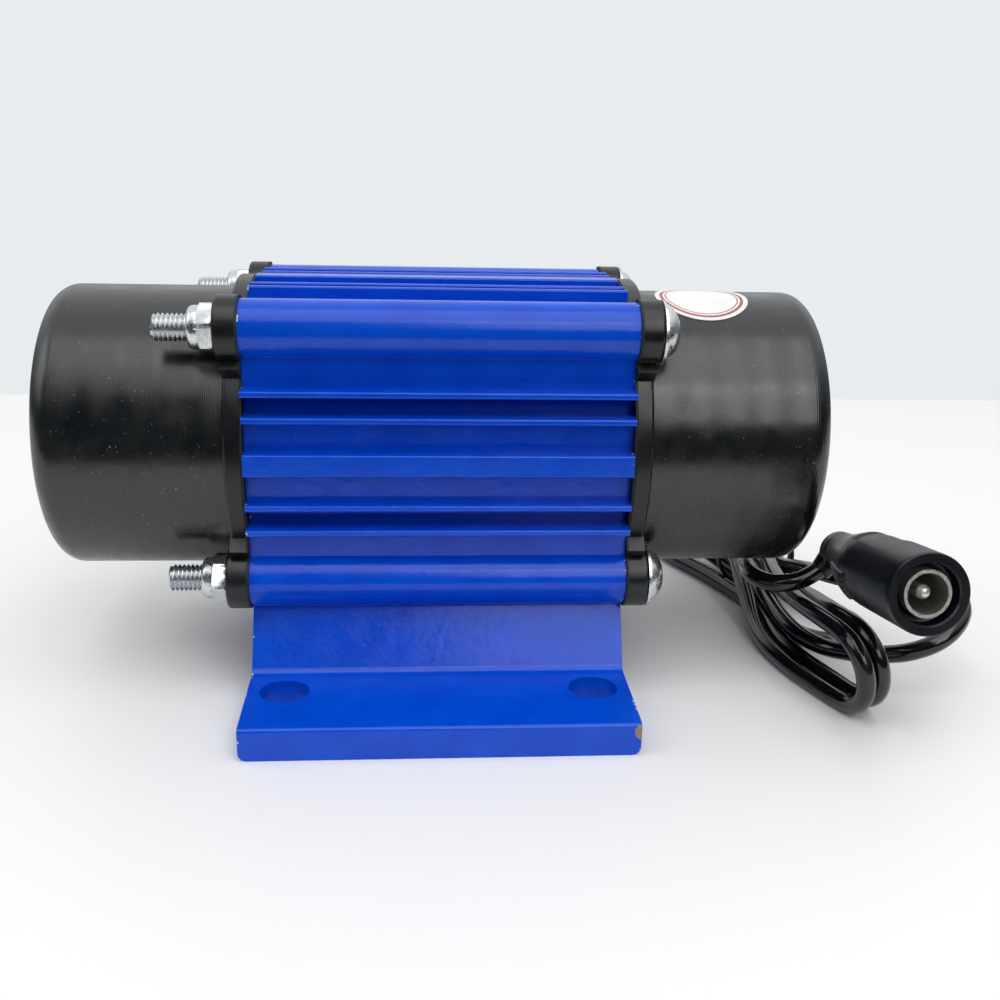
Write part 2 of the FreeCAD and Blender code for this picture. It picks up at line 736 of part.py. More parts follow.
def ring_with_race(label, side, inner, outer):
    """A bearing ring with its raceway."""
    start, stop = S.bearing_start, S.bearing_start + S.bearing_width
    outline = [(start, inner), (stop, inner), (stop, outer), (start, outer)]
    body = turned(label, mirrored(side, outline))
    race = new_sketch(body, "XZ_Plane")
    middle = (start + S.bearing_width / 2) * SIDES[side]
    add_circle(race, middle, S.ball_pitch, S.race_radius)
    doc.recompute()
    before = body.Shape.Volume
    add_feature(body, "Groove", race, ReferenceAxis=(race, ["H_Axis"]), Angle=360.0)
    doc.recompute()
    if not body.Shape.Volume < before:
        raise RuntimeError(f"{label}: no raceway")
    return body


def make_bearing(side):
    ring_with_race(f"bearing_outer_{side}", side, S.outer_shoulder, S.bearing_radius)
    ring_with_race(f"bearing_inner_{side}", side, S.shaft_radius, S.inner_shoulder)
    make_balls(side)


BALL_COUNT = 7


def make_balls(side):
    """The balls between the rings, one group of separate solids."""
    body = new_body(f"bearing_balls_{side}")
    sketch = new_sketch(body, "XZ_Plane")
    middle = (S.bearing_start + S.bearing_width / 2) * SIDES[side]
    centre = FreeCAD.Vector(middle.value, S.ball_pitch.value, 0)
    radius = S.ball_radius.value
    circle = Part.Circle(centre, FreeCAD.Vector(0, 0, 1), radius)
    arc = sketch.addGeometry(Part.ArcOfCircle(circle, 0, math.pi))
    line = sketch.addGeometry(
        Part.LineSegment(centre - FreeCAD.Vector(radius, 0, 0), centre + FreeCAD.Vector(radius, 0, 0))
    )
    sketch.addConstraint(Sketcher.Constraint("Coincident", arc, 2, line, 1))
    sketch.addConstraint(Sketcher.Constraint("Coincident", arc, 1, line, 2))
    pin_point(sketch, arc, 3, middle, S.ball_pitch)
    sketch.addConstraint(Sketcher.Constraint("PointOnObject", arc, 3, line))
    sketch.addConstraint(Sketcher.Constraint("Horizontal", line))
    index = sketch.addConstraint(Sketcher.Constraint("Radius", arc, radius))
    sketch.setExpression(f"Constraints[{index}]", S.ball_radius.text)
    axis = sketch.addGeometry(
        Part.LineSegment(centre - FreeCAD.Vector(5, 0, 0), centre + FreeCAD.Vector(5, 0, 0)), True
    )
    pin_point(sketch, axis, 1, middle - 5, S.ball_pitch)
    pin_point(sketch, axis, 2, middle + 5, S.ball_pitch)
    ball = add_feature(body, "Revolution", sketch, ReferenceAxis=(sketch, ["Axis0"]), Angle=360.0)
    repeat(body, ball, BALL_COUNT)
    return body


# ---------------------------------------------------------------- rotor


def make_shaft():
    """Stepped shaft with a groove for the retaining ring near each end."""
    weight_end = S.bearing_start + S.bearing_width + S.spacer_length + S.weight_length
    groove = S.shaft_radius - S.clip_groove
    half = [
        (S.bearing_start, S.shaft_middle),
        (S.bearing_start, S.shaft_radius),
        (weight_end, S.shaft_radius),
        (weight_end, groove),
        (weight_end + S.clip_thickness + 0.1, groove),
        (weight_end + S.clip_thickness + 0.1, S.shaft_radius),
        (S.shaft_end - 0.8, S.shaft_radius),
        (S.shaft_end, S.shaft_radius - 0.8),
        (S.shaft_end, 0),
    ]
    return turned("rotor_shaft", mirrored("left", reversed(half)) + half)


SLOT_COUNT = 12


def make_core():
    """Stack of laminations with twelve winding slots."""
    body = new_body("armature_core")
    section = across_axis_sketch(body, S.core_start)
    add_circle(section, 0, 0, S.core_radius)
    add_circle(section, 0, 0, S.shaft_middle)
    length = S.core_end - S.core_start
    pad(body, section, length)
    doc.recompute()
    bore = across_axis_sketch(body, S.core_start)
    add_circle(bore, 0, S.slot_centre, S.slot_bore)
    repeat(body, cut(body, bore, length, forwards=True), SLOT_COUNT)
    doc.recompute()
    mouth = across_axis_sketch(body, S.core_start)
    top = S.core_radius + 1
    corners = [(-S.slot_mouth, S.slot_centre), (S.slot_mouth, S.slot_centre)]
    add_outline(mouth, corners + [(S.slot_mouth, top), (-S.slot_mouth, top)])
    repeat(body, cut(body, mouth, length, forwards=True), SLOT_COUNT)
    return body


def make_winding():
    """Copper in the slots and the end turns that join it on both sides of the core."""
    body = new_body("armature_winding")
    slope, overlap = S.turn_slope, S.turn_overlap
    add_end_turns(body, S.core_start, S.core_start - S.turn_reach, slope)
    doc.recompute()
    bars = across_axis_sketch(body, S.core_start - overlap)
    add_circle(bars, 0, S.slot_centre, S.slot_bore - 0.15)
    repeat(body, pad(body, bars, S.core_end - S.core_start + overlap * 2), SLOT_COUNT)
    doc.recompute()
    add_end_turns(body, S.core_end, S.core_end + S.turn_reach, -slope)
    return body


def add_end_turns(body, near, far, slope):
    """A ring of copper beside the core, narrower outside than inside by the slope."""
    inner, outer = S.slot_centre - 2.4, S.slot_centre + 2.6
    ring = new_sketch(body, "XZ_Plane")
    add_outline(ring, [(near, inner), (far, inner), (far + slope, outer), (near, outer)])
    add_feature(body, "Revolution", ring, ReferenceAxis=(ring, ["H_Axis"]), Angle=360.0)


COMMUTATOR_GAP = 0.5


def make_commutator():
    """Insulating hub with twelve copper bars."""
    start, stop = S.commutator_start, S.commutator_end
    turned(
        "commutator_hub",
        [
            (start, S.shaft_middle),
            (stop, S.shaft_middle),
            (stop, S.commutator_hub),
            (start, S.commutator_hub),
        ],
    )
    bars = new_body("commutator_bars")
    sketch = across_axis_sketch(bars, start)
    near, far = S.commutator_hub, S.commutator_radius
    half_gap = math.asin(COMMUTATOR_GAP / 2 / far.value)
    add_sector(sketch, near, far, math.pi / SLOT_COUNT - half_gap)
    repeat(bars, pad(bars, sketch, stop - start), SLOT_COUNT)
    return bars


def add_sector(sketch, near, far, half_angle):
    """A sector of a ring, symmetric about the sketch's own upright axis."""
    centre, up = FreeCAD.Vector(0, 0, 0), FreeCAD.Vector(0, 0, 1)
    start, stop = math.pi / 2 - half_angle, math.pi / 2 + half_angle
    arcs = []
    for radius in (near, far):
        arcs.append(
            sketch.addGeometry(Part.ArcOfCircle(Part.Circle(centre, up, radius.value), start, stop))
        )

    def at(radius, angle):
        return FreeCAD.Vector(radius.value * math.cos(angle), radius.value * math.sin(angle), 0)

    sides = [
        sketch.addGeometry(Part.LineSegment(at(near, angle), at(far, angle))) for angle in (start, stop)
    ]
    for arc, radius in zip(arcs, (near, far)):
        sketch.addConstraint(Sketcher.Constraint("Coincident", arc, 3, -1, 1))
        index = sketch.addConstraint(Sketcher.Constraint("Radius", arc, radius.value))
        sketch.setExpression(f"Constraints[{index}]", radius.text)
    for side, end, angle in ((sides[0], 1, start), (sides[1], 2, stop)):
        sketch.addConstraint(Sketcher.Constraint("Coincident", side, 1, arcs[0], end))
        sketch.addConstraint(Sketcher.Constraint("Coincident", side, 2, arcs[1], end))
        sketch.addConstraint(Sketcher.Constraint("PointOnObject", -1, 1, side))
        sketch.addConstraint(Sketcher.Constraint("Angle", -1, 1, side, 1, angle))


def weight_start():
    return S.bearing_start + S.bearing_width + S.spacer_length


def make_weight(side):
    """Half disc of steel on a clamping hub, hanging below the shaft at rest."""
    body = new_body(f"eccentric_weight_{side}")
    backwards = side == "left"
    sketch = across_axis_sketch(body, weight_start() * SIDES[side])
    radius = S.weight_radius.value
    start, stop = math.radians(190), math.radians(350)
    centre, up = FreeCAD.Vector(0, 0, 0), FreeCAD.Vector(0, 0, 1)
    arc = sketch.addGeometry(Part.ArcOfCircle(Part.Circle(centre, up, radius), start, stop))
    first = FreeCAD.Vector(radius * math.cos(start), radius * math.sin(start), 0)
    last = FreeCAD.Vector(radius * math.cos(stop), radius * math.sin(stop), 0)
    chord = sketch.addGeometry(Part.LineSegment(last, first))
    sketch.addConstraint(Sketcher.Constraint("Coincident", arc, 2, chord, 1))
    sketch.addConstraint(Sketcher.Constraint("Coincident", arc, 1, chord, 2))
    sketch.addConstraint(Sketcher.Constraint("Coincident", arc, 3, -1, 1))
    sketch.addConstraint(Sketcher.Constraint("Horizontal", chord))
    index = sketch.addConstraint(Sketcher.Constraint("Radius", arc, radius))
    sketch.setExpression(f"Constraints[{index}]", S.weight_radius.text)
    drop = S.weight_radius * Size(-math.sin(start), "sin(10 deg)")
    index = sketch.addConstraint(Sketcher.Constraint("DistanceY", -1, 1, chord, 1, -drop.value))
    sketch.setExpression(f"Constraints[{index}]", (-drop).text)
    pad(body, sketch, S.weight_length, backwards)
    hub = across_axis_sketch(body, weight_start() * SIDES[side])
    add_circle(hub, 0, 0, S.weight_hub)
    pad(body, hub, S.weight_length, backwards)
    doc.recompute()
    bore = across_axis_sketch(body, weight_start() * SIDES[side])
    add_circle(bore, 0, 0, S.shaft_radius)
    cut(body, bore, S.weight_length, forwards=not backwards)
    slit = across_axis_sketch(body, weight_start() * SIDES[side])
    half, high = S.weight_slit, S.weight_hub + 1
    add_outline(slit, [(-half, 0), (half, 0), (half, high), (-half, high)])
    cut(body, slit, S.weight_length, forwards=not backwards)
    screw_way = new_sketch(body, "XZ_Plane")
    middle = (weight_start() + S.weight_length / 2) * SIDES[side]
    add_circle(screw_way, middle, S.clamp_height, S.clamp_radius + 0.1)
    add_feature(body, "Pocket", screw_way, Length=S.weight_hub * 3, Midplane=True)
    head_way = new_sketch(body, "XZ_Plane", shifted_along(S.clamp_seat - 0.1))
    bind_offset(head_way, S.clamp_seat - 0.1)
    add_circle(head_way, middle, S.clamp_height, S.clamp_head + 0.2)
    cut(body, head_way, S.weight_hub, forwards=True)
    return body


def make_clamp_screw(side):
    """Socket screw that closes the weight's slit on the shaft."""
    body = new_body(f"clamp_screw_{side}")
    middle = (weight_start() + S.weight_length / 2) * SIDES[side]
    sketch = new_sketch(body, "XZ_Plane")
    add_circle(sketch, middle, S.clamp_height, S.clamp_radius)
    add_feature(body, "Pad", sketch, Length=S.clamp_reach, Midplane=True)
    head = new_sketch(body, "XZ_Plane", shifted_along(S.clamp_seat))
    bind_offset(head, S.clamp_seat)
    add_circle(head, middle, S.clamp_height, S.clamp_head)
    add_feature(body, "Pad", head, Length=S.clamp_head_height)
    return body


def make_spacer(side):
    start = S.bearing_start + S.bearing_width
    stop = start + S.spacer_length
    outer = S.spacer_radius - 0.9
    outline = [(start, S.shaft_radius), (stop, S.shaft_radius), (stop, outer), (start, outer)]
    return turned(f"weight_spacer_{side}", mirrored(side, outline))


def make_retaining_ring(side):
    """Spring ring in the shaft's groove, open at the top."""
    body = new_body(f"retaining_ring_{side}")
    start = weight_start() + S.weight_length
    sketch = across_axis_sketch(body, start * SIDES[side])
    add_circle(sketch, 0, 0, S.clip_radius)
    add_circle(sketch, 0, 0, S.shaft_radius - S.clip_groove)
    pad(body, sketch, S.clip_thickness, side == "left")
    doc.recompute()
    opening = across_axis_sketch(body, start * SIDES[side])
    half, high = S.clip_opening, S.clip_radius + 1
    add_outline(opening, [(-half, 0), (half, 0), (half, high), (-half, high)])
    cut(body, opening, S.clip_thickness, forwards=side == "right")
    return body


# ---------------------------------------------------------------- stator and brush gear


def make_yoke():
    outer = S.bore_radius - S.fit_gap
    outline = [
        (-S.spigot_start, S.yoke_inner),
        (S.yoke_end, S.yoke_inner),
        (S.yoke_end, outer),
        (-S.spigot_start, outer),
    ]
    return turned("yoke", outline)


def make_magnet(label, turn):
    """Arc magnet inside the yoke, turned about the motor axis from straight up."""
    body = new_body(label)
    body.Placement.Rotation = FreeCAD.Rotation(FreeCAD.Vector(1, 0, 0), turn)
    sketch = across_axis_sketch(body, S.core_start - 2)
    outer = S.yoke_inner - S.fit_gap
    add_sector(sketch, S.magnet_inner, outer, math.radians(S.magnet_half_angle.value))
    pad(body, sketch, S.core_end - S.core_start + 4)
    return body


def make_brush_plate():
    """Insulating plate with a skirt that spaces it from the yoke."""
    outer = S.bore_radius - S.fit_gap
    outline = [
        (S.yoke_end, S.skirt_inner),
        (S.plate_start, S.skirt_inner),
        (S.plate_start, S.plate_inner),
        (S.spigot_start, S.plate_inner),
        (S.spigot_start, outer),
        (S.yoke_end, outer),
    ]
    body = turned("brush_plate", outline)
    openings = across_axis_sketch(body, S.plate_start)
    for angle in LEAD_ENDS:
        add_circle(openings, *lead_place(LEAD_RING, angle), LEAD_HOLE)
    cut(body, openings, S.spigot_start - S.plate_start, forwards=True)
    return body


def make_brush_holder(label, turn):
    """Brass box that guides one brush, closed at its back."""
    body = new_body(label)
    body.Placement.Rotation = FreeCAD.Rotation(FreeCAD.Vector(1, 0, 0), turn)
    half = S.holder_half
    sketch = new_sketch(body, "XY_Plane", shifted_along(S.holder_start))
    bind_offset(sketch, S.holder_start)
    stop = S.plate_start
    start = stop - half * 2
    add_outline(sketch, [(start, -half), (stop, -half), (stop, half), (start, half)])
    pad(body, sketch, S.holder_end - S.holder_start)
    doc.recompute()
    way = new_sketch(body, "XY_Plane", shifted_along(S.holder_start))
    bind_offset(way, S.holder_start)
    room = S.brush_half + 0.1
    middle = stop - half
    corners = [(middle - room, -room), (middle + room, -room), (middle + room, room)]
    add_outline(way, corners + [(middle - room, room)])
    cut(body, way, S.holder_end - S.holder_start - 0.6, forwards=True)
    return body


def make_brush(label, turn):
    """Carbon block whose tip is hollowed to the commutator's curve."""
    body = new_body(label)
    body.Placement.Rotation = FreeCAD.Rotation(FreeCAD.Vector(1, 0, 0), turn)
    middle = S.plate_start - S.holder_half
    sketch = new_sketch(body, "XY_Plane", shifted_along(S.brush_start - 1))
    half = S.brush_half
    corners = [(middle - half, -half), (middle + half, -half), (middle + half, half)]
    add_outline(sketch, corners + [(middle - half, half)])
    pad(body, sketch, S.brush_end - S.brush_start + 1)
    doc.recompute()
    hollow = across_axis_sketch(body, middle - half)
    add_circle(hollow, 0, 0, S.brush_start)
    cut(body, hollow, half * 2, forwards=True)
    return body


def make_brush_spring(label, turn):
    """Coil spring between a brush and the back of its holder."""
    wire = 0.25
    turns = 5
    radius = 1.7
    start = S.brush_end.value + wire
    height = S.holder_end.value - 0.6 - S.brush_end.value - 2 * wire
    helix = Part.makeHelix(height / turns, height, radius)
    section = Part.Wire(
        [Part.Circle(FreeCAD.Vector(radius, 0, 0), FreeCAD.Vector(0, 1, 0), wire).toShape()]
    )
    coil = Part.Wire(helix.Edges).makePipeShell([section], True, True)
    spring = doc.addObject("Part::Feature", label)
    spring.Label = label
    middle = (S.plate_start - S.holder_half).value
    turn_about_axis = FreeCAD.Rotation(FreeCAD.Vector(1, 0, 0), turn)
    base = turn_about_axis.multVec(FreeCAD.Vector(middle, 0, start))
    spring.Shape = coil
    spring.Placement = FreeCAD.Placement(base + FreeCAD.Vector(0, 0, S.axis_height.value), turn_about_axis)
    subparts.append(spring)
    return spring


# ---------------------------------------------------------------- leads, gland, cord, connector

LEAD_RING = 17.5
LEAD_HOLE = 1.0
LEAD_ANGLES = (-33, -17)
LEAD_ENDS = (-74, 74)


def lead_place(radius, angle):
    """Across and up from the axis of a point at an angle measured from the back."""
    turn = math.radians(angle)
    return radius * math.cos(turn), radius * math.sin(turn)


def rounded_path(points):
    """Straight runs joined by tangent arcs as large as the runs allow; also gives the arc radii."""
    points = [FreeCAD.Vector(*point) for point in points]
    edges, radii = [], []
    at = points[0]
    for before, corner, after in zip(points, points[1:], points[2:]):
        back, ahead = before - corner, after - corner
        reach = 0.45 * min(back.Length, ahead.Length)
        back.normalize()
        ahead.normalize()
        half_turn = (math.pi - back.getAngle(ahead)) / 2
        radius = reach / math.tan(half_turn)
        first, last = corner + back * reach, corner + ahead * reach
        inwards = (back + ahead).normalize()
        depth = radius / math.cos(half_turn) - radius
        edges.append(Part.LineSegment(at, first).toShape())
        edges.append(Part.Arc(first, corner + inwards * depth, last).toShape())
        radii.append(radius)
        at = last
    edges.append(Part.LineSegment(at, points[-1]).toShape())
    return Part.Wire(edges), radii


def make_tube(label, points, radius):
    """A round tube along a route, checked by its volume."""
    path, radii = rounded_path(points)
    start = FreeCAD.Vector(*points[0])
    heading = FreeCAD.Vector(*points[1]) - start
    section = Part.Wire([Part.Circle(start, heading, radius).toShape()])
    solid = path.makePipeShell([section], True, False)
    expected = math.pi * radius**2 * path.Length
    if abs(solid.Volume - expected) > 0.01 * expected:
        raise RuntimeError(f"{label}: volume {solid.Volume:.1f}, expected {expected:.1f}")
    tube = doc.addObject("Part::Feature", label)
    tube.Label = label
    tube.Shape = solid
    subparts.append(tube)
    smallest = min(radii) / (2 * radius)
    print(f"{label}: {path.Length:.0f} mm, radii", [round(r, 1) for r in radii], f"min {smallest:.1f} d")
    return tube


def around_axis(place, radius, angle):
    across, up = lead_place(radius, angle)
    return place, across, up + S.axis_height.value


def make_leads():
    """The two inner leads, from the gland through the shield to the brush holders."""
    ring, thickness = LEAD_RING, S.lead_radius.value
    gland, web = S.gland_place.value, S.shield_web.value
    plate = S.plate_start.value
    inlet, spread = S.gland_start.value, 3
    at_gland = 90 - S.gland_angle.value
    lower = [
        around_axis(gland - 1.2, inlet - 0.03, at_gland - spread),
        around_axis(gland - 1.2, inlet - 0.8, at_gland - spread),
        around_axis(gland - 4.4, inlet - 1.0, at_gland - 4),
        around_axis(gland - 5.8, ring, LEAD_ANGLES[0]),
        around_axis(web - 1.0, ring, LEAD_ANGLES[0]),
    ]
    lower += [around_axis(web - 2.0, ring, angle) for angle in (-46, -60)]
    lower += [around_axis(web - 4.2, ring, LEAD_ENDS[0]), around_axis(plate - 0.6, ring, LEAD_ENDS[0])]
    upper = [
        around_axis(gland + 1.2, inlet - 0.03, at_gland + spread),
        around_axis(gland + 1.2, inlet - 0.8, at_gland + spread),
        around_axis(gland - 4.4, inlet - 0.9, at_gland + 6),
        around_axis(gland - 5.8, ring, LEAD_ANGLES[1]),
        around_axis(web - 0.8, ring, LEAD_ANGLES[1]),
    ]
    upper += [around_axis(web - 2.0, ring, angle) for angle in (-4, 12, 30, 48, 64)]
    upper += [around_axis(web - 4.2, ring, LEAD_ENDS[1]), around_axis(plate - 0.6, ring, LEAD_ENDS[1])]
    make_tube("lead_lower", lower, thickness)
    make_tube("lead_upper", upper, thickness)


def make_gland():
    """Moulded grommet and bend relief, turned about its own axis."""
    outline = [
        (S.gland_start, 0),
        (S.gland_start, S.gland_flange),
        (S.cover_radius - S.cover_wall - 0.5, S.gland_flange),
        (S.cover_radius - S.cover_wall - 0.5, S.gland_hole - S.fit_gap),
        (S.cover_radius + 0.1, S.gland_hole - S.fit_gap),
        (S.cover_radius + 0.1, S.gland_flange),
        (S.gland_collar, S.gland_flange),
        (S.gland_collar, S.gland_root),
        (S.gland_end, S.gland_tip),
        (S.gland_end, 0),
    ]
    body = turned("cable_gland", outline)
    turn = math.radians(S.gland_angle.value)
    direction = FreeCAD.Vector(0, math.sin(turn), math.cos(turn))
    body.Placement.Rotation = FreeCAD.Rotation(FreeCAD.Vector(1, 0, 0), direction)
    body.Placement.Base.x = S.gland_place.value
    body.setExpression(".Placement.Base.x", S.gland_place.text)
    return body


# Routes of the cord's free stretches, chosen by hand, in millimetres
CORD_EXIT = [
    (46.8, 55.0, 17.0),
    (49.5, 63.5, 8.5),
    (56.0, 69.0, 3.5),
    (65.5, 71.0, 2.6),
]
CORD_LOOP = [
    (81.0, -18.0, 5.0),
    (90.0, -31.0, 7.0),
    (104.0, -31.0, 13.5),
    (110.5, -17.5, 16.0),
    (103.0, -4.0, 15.5),
    (95.0, 8.0, 12.0),
    (88.5, 19.0, 9.0),
    (82.0, 30.0, 6.5),
]
CORD_LEAD = [
    (69.0, 13.0, 13.0),
    (66.0, 0.0, 13.5),
    (71.0, -12.5, 17.0),
    (80.5, -14.8, 24.4),
]
HANK_OUTLINE = [
    (72.5, -39.0),
    (79.0, -44.0),
    (87.0, -40.0),
    (90.5, -28.0),
    (91.0, -14.0),
    (94.0, -6.0),
    (93.0, 3.0),
    (87.0, 11.0),
    (85.5, 22.0),
    (86.0, 44.0),
    (85.5, 58.0),
    (78.0, 70.0),
    (66.0, 73.5),
    (56.0, 71.0),
    (55.5, 56.0),
    (58.0, 42.0),
    (63.0, 30.0),
    (67.0, 18.0),
    (67.0, 6.0),
    (66.0, -8.0),
    (67.0, -24.0),
]
HANK_HEIGHT = 15.5
JACK_FACE = (81.3, -54.5, 31.8)
JACK_TAIL = (80.6, -14.8, 24.5)


def make_cord():
    radius = S.cord_radius.value
    turn = 90 - S.gland_angle.value
    out = [around_axis(S.gland_place.value, S.gland_end.value + reach, turn) for reach in (0, 9.5)]
    make_tube("cord_exit", out + CORD_EXIT, radius)
    make_tube("cord_loop", CORD_LOOP, radius)
    make_tube("cord_lead", CORD_LEAD, radius)
    body = new_body("cord_hank", on_axis=False)
    sketch = new_sketch(body, "XY_Plane")
    add_outline(sketch, HANK_OUTLINE)
    pad(body, sketch, HANK_HEIGHT)
    round_edges(body, S.cord_radius * 2, lambda point, edge: point.z > HANK_HEIGHT - 0.01)
    return body


def on_jack(body):
    """Stand a piece turned about X on the connector's axis, its origin in the front face."""
    face, tail = FreeCAD.Vector(*JACK_FACE), FreeCAD.Vector(*JACK_TAIL)
    body.Placement = FreeCAD.Placement(face, FreeCAD.Rotation(FreeCAD.Vector(1, 0, 0), tail - face))


def make_connector():
    """Moulded female barrel connector: body, metal barrel, insulator and pin."""
    depth = S.jack_depth
    length = (FreeCAD.Vector(*JACK_TAIL) - FreeCAD.Vector(*JACK_FACE)).Length
    body = turned(
        "connector_body",
        [
            (0, S.jack_mouth),
            (0, S.jack_radius - 0.5),
            (0.5, S.jack_radius),
            (S.jack_length * 0.45, S.jack_radius),
            (S.jack_length * 0.6, S.jack_radius * 0.93),
            (S.jack_length * 0.8, S.jack_tail + 0.6),
            (S.jack_length * 0.82, S.jack_tail),
            (length, S.jack_tail * 0.85),
            (length, 0),
            (depth + 2, 0),
            (depth + 2, S.jack_shell + S.fit_gap),
            (1.2, S.jack_shell + S.fit_gap),
            (1.2, S.jack_mouth),
        ],
        on_axis=False,
    )
    shell = turned(
        "connector_shell",
        [
            (0.6, S.jack_bore),
            (0.6, S.jack_shell),
            (depth, S.jack_shell),
            (depth, S.jack_bore),
        ],
        on_axis=False,
    )
    insulator = turned(
        "connector_insulator",
        [
            (depth, 0),
            (depth, S.jack_shell),
            (depth + 2 - 0.02, S.jack_shell),
            (depth + 2 - 0.02, 0),
        ],
        on_axis=False,
    )
    pin = turned(
        "connector_pin",
        [
            (1.4, 0),
            (1.6, S.jack_pin * 0.6),
            (2.4, S.jack_pin),
            (depth, S.jack_pin),
            (depth, 0),
        ],
        on_axis=False,
    )
    for piece in (body, shell, insulator, pin):
        on_jack(piece)


# ---------------------------------------------------------------- build


def build():
    make_housing()
    for side in SIDES:
        make_gasket(side)
        make_end_shield(side)
        make_weight_cover(side)
        make_bearing(side)
        make_spacer(side)
        make_weight(side)
        make_clamp_screw(side)
        make_retaining_ring(side)
    make_tie_screws()
    make_washers()
    make_lock_nuts()
    make_nut_inserts()
    make_shaft()
    make_core()
    make_winding()
    make_commutator()
    make_yoke()
    for label, turn in (("front", 90), ("rear", 270)):
        make_magnet(f"magnet_{label}", turn)
    for label, turn in (("upper", 0), ("lower", 180)):
        make_brush_holder(f"brush_holder_{label}", turn)
        make_brush(f"brush_{label}", turn)
        make_brush_spring(f"brush_spring_{label}", turn)
    make_brush_plate()
    make_leads()
    make_gland()
    make_cord()
    make_connector()
    doc.recompute()


def check():
    """Stop if anything in the document failed or a sub-part isn't a sound solid."""
    for item in doc.Objects:
        if "Invalid" in item.State or "Error" in item.State:
            raise RuntimeError(f"{item.Name} failed: {item.State}")
    for item in subparts:
        shape = item.Shape
        if shape.isNull() or not shape.isValid() or not shape.Solids:
            raise RuntimeError(f"{item.Label} has no valid solid")


def export():
    os.makedirs("parts", exist_ok=True)
    for item in subparts:
        item.Shape.exportStep(f"parts/{item.Label}.step")
        print(f"{item.Label}: {len(item.Shape.Solids)} solid(s), {item.Shape.Volume:.0f} mm3")


build()
check()
export()
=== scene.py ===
"""Looks of a small DC vibration motor: its finishes, screws, nuts, cord and connector."""

from __future__ import annotations

import json
import logging
import math
from collections.abc import Callable, Sequence
from dataclasses import dataclass
from enum import Enum

import bpy
from mathutils import Matrix, Vector


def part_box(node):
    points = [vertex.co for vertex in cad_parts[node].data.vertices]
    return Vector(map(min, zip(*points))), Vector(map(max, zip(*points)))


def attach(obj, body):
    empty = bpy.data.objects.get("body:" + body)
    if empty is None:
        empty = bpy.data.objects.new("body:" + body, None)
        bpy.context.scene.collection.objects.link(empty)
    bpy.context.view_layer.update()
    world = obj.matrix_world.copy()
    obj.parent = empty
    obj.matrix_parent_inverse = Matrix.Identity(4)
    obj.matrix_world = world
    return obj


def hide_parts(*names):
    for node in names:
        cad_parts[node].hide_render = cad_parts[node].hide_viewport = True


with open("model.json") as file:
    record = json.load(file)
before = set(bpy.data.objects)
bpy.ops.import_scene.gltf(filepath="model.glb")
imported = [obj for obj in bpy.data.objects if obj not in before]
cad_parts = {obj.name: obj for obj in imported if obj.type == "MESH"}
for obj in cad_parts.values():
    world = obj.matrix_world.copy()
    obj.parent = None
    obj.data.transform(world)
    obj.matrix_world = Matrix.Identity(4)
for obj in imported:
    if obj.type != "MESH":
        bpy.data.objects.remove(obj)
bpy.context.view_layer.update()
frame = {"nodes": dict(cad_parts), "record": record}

LOG = logging.getLogger("vibration_motor")
MM = 0.001
STATOR = "stator"
Point = tuple[float, float, float]
Span = tuple[float, float]
Outline = Sequence[Span]
FaceTest = Callable[[Vector, Vector], bool]
Piece = bpy.types.Object
Socket = bpy.types.NodeSocket
Tree = bpy.types.NodeTree

# Sockets of a Mix node that mixes colours
MIX_SHARE, MIX_UNDER, MIX_OVER, MIX_COLOUR = 0, 6, 7, 2


class Solid(Enum):
    """What one solid does to another."""

    CUT = "DIFFERENCE"
    ADD = "UNION"
    KEEP_COMMON = "INTERSECT"


def middle_of(node: str) -> Vector:
    """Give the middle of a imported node's box.

    Args:
        node: name of the node.

    Returns:
        The middle, in metres.
    """
    low, high = (Vector(corner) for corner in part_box(node))
    return (low + high) / 2


AXIS_HEIGHT = middle_of("yoke").z


# ---------------------------------------------------------------- node materials


def linear(code: str) -> tuple[float, float, float, float]:
    """Turn an sRGB hex code into linear RGBA.

    Args:
        code: six hex digits, such as "1A3CB0".

    Returns:
        Red, green, blue and alpha as a shader takes them.
    """
    parts = [int(code[i : i + 2], 16) / 255 for i in (0, 2, 4)]
    bent = [c / 12.92 if c <= 0.04045 else ((c + 0.055) / 1.055) ** 2.4 for c in parts]
    return (*bent, 1.0)


def per(size: float) -> float:
    """Give the noise scale that makes one spot of a pattern about a size in millimetres wide."""
    return 1 / (size * MM)


def add_node(tree: Tree, kind: str, sockets: dict | None = None, **settings) -> bpy.types.Node:
    """Add a node, set its properties, and fill or link its inputs.

    Args:
        tree: node tree that gets the node.
        kind: Blender's name for the node type, without its ShaderNode prefix.
        sockets: input name or index, with a value or the output socket that feeds it.
        settings: the node's own properties; stops gives a colour ramp as {place: colour}.

    Returns:
        The new node.
    """
    node = tree.nodes.new(f"ShaderNode{kind}")
    stops = settings.pop("stops", None)
    for name, value in settings.items():
        setattr(node, name, value)
    if stops:
        ramp = node.color_ramp.elements
        while len(ramp) < len(stops):
            ramp.new(0.5)
        for element, (place, shade) in zip(ramp, sorted(stops.items())):
            element.position = place
            element.color = linear(shade)
    for socket, value in (sockets or {}).items():
        if isinstance(value, Socket):
            tree.links.new(value, node.inputs[socket])
        else:
            node.inputs[socket].default_value = value
    return node


def noise(tree: Tree, place: Socket, size: float, detail: float) -> Socket:
    """Give a noise whose spots are about a size in millimetres wide."""
    sockets = {"Vector": place, "Scale": per(size), "Detail": detail}
    return add_node(tree, "TexNoise", sockets).outputs["Fac"]


def work_out(tree: Tree, operation: str, *values: Socket | float) -> Socket:
    """Give the result of an operation on one, two or three values."""
    return add_node(tree, "Math", dict(enumerate(values)), operation=operation).outputs[0]


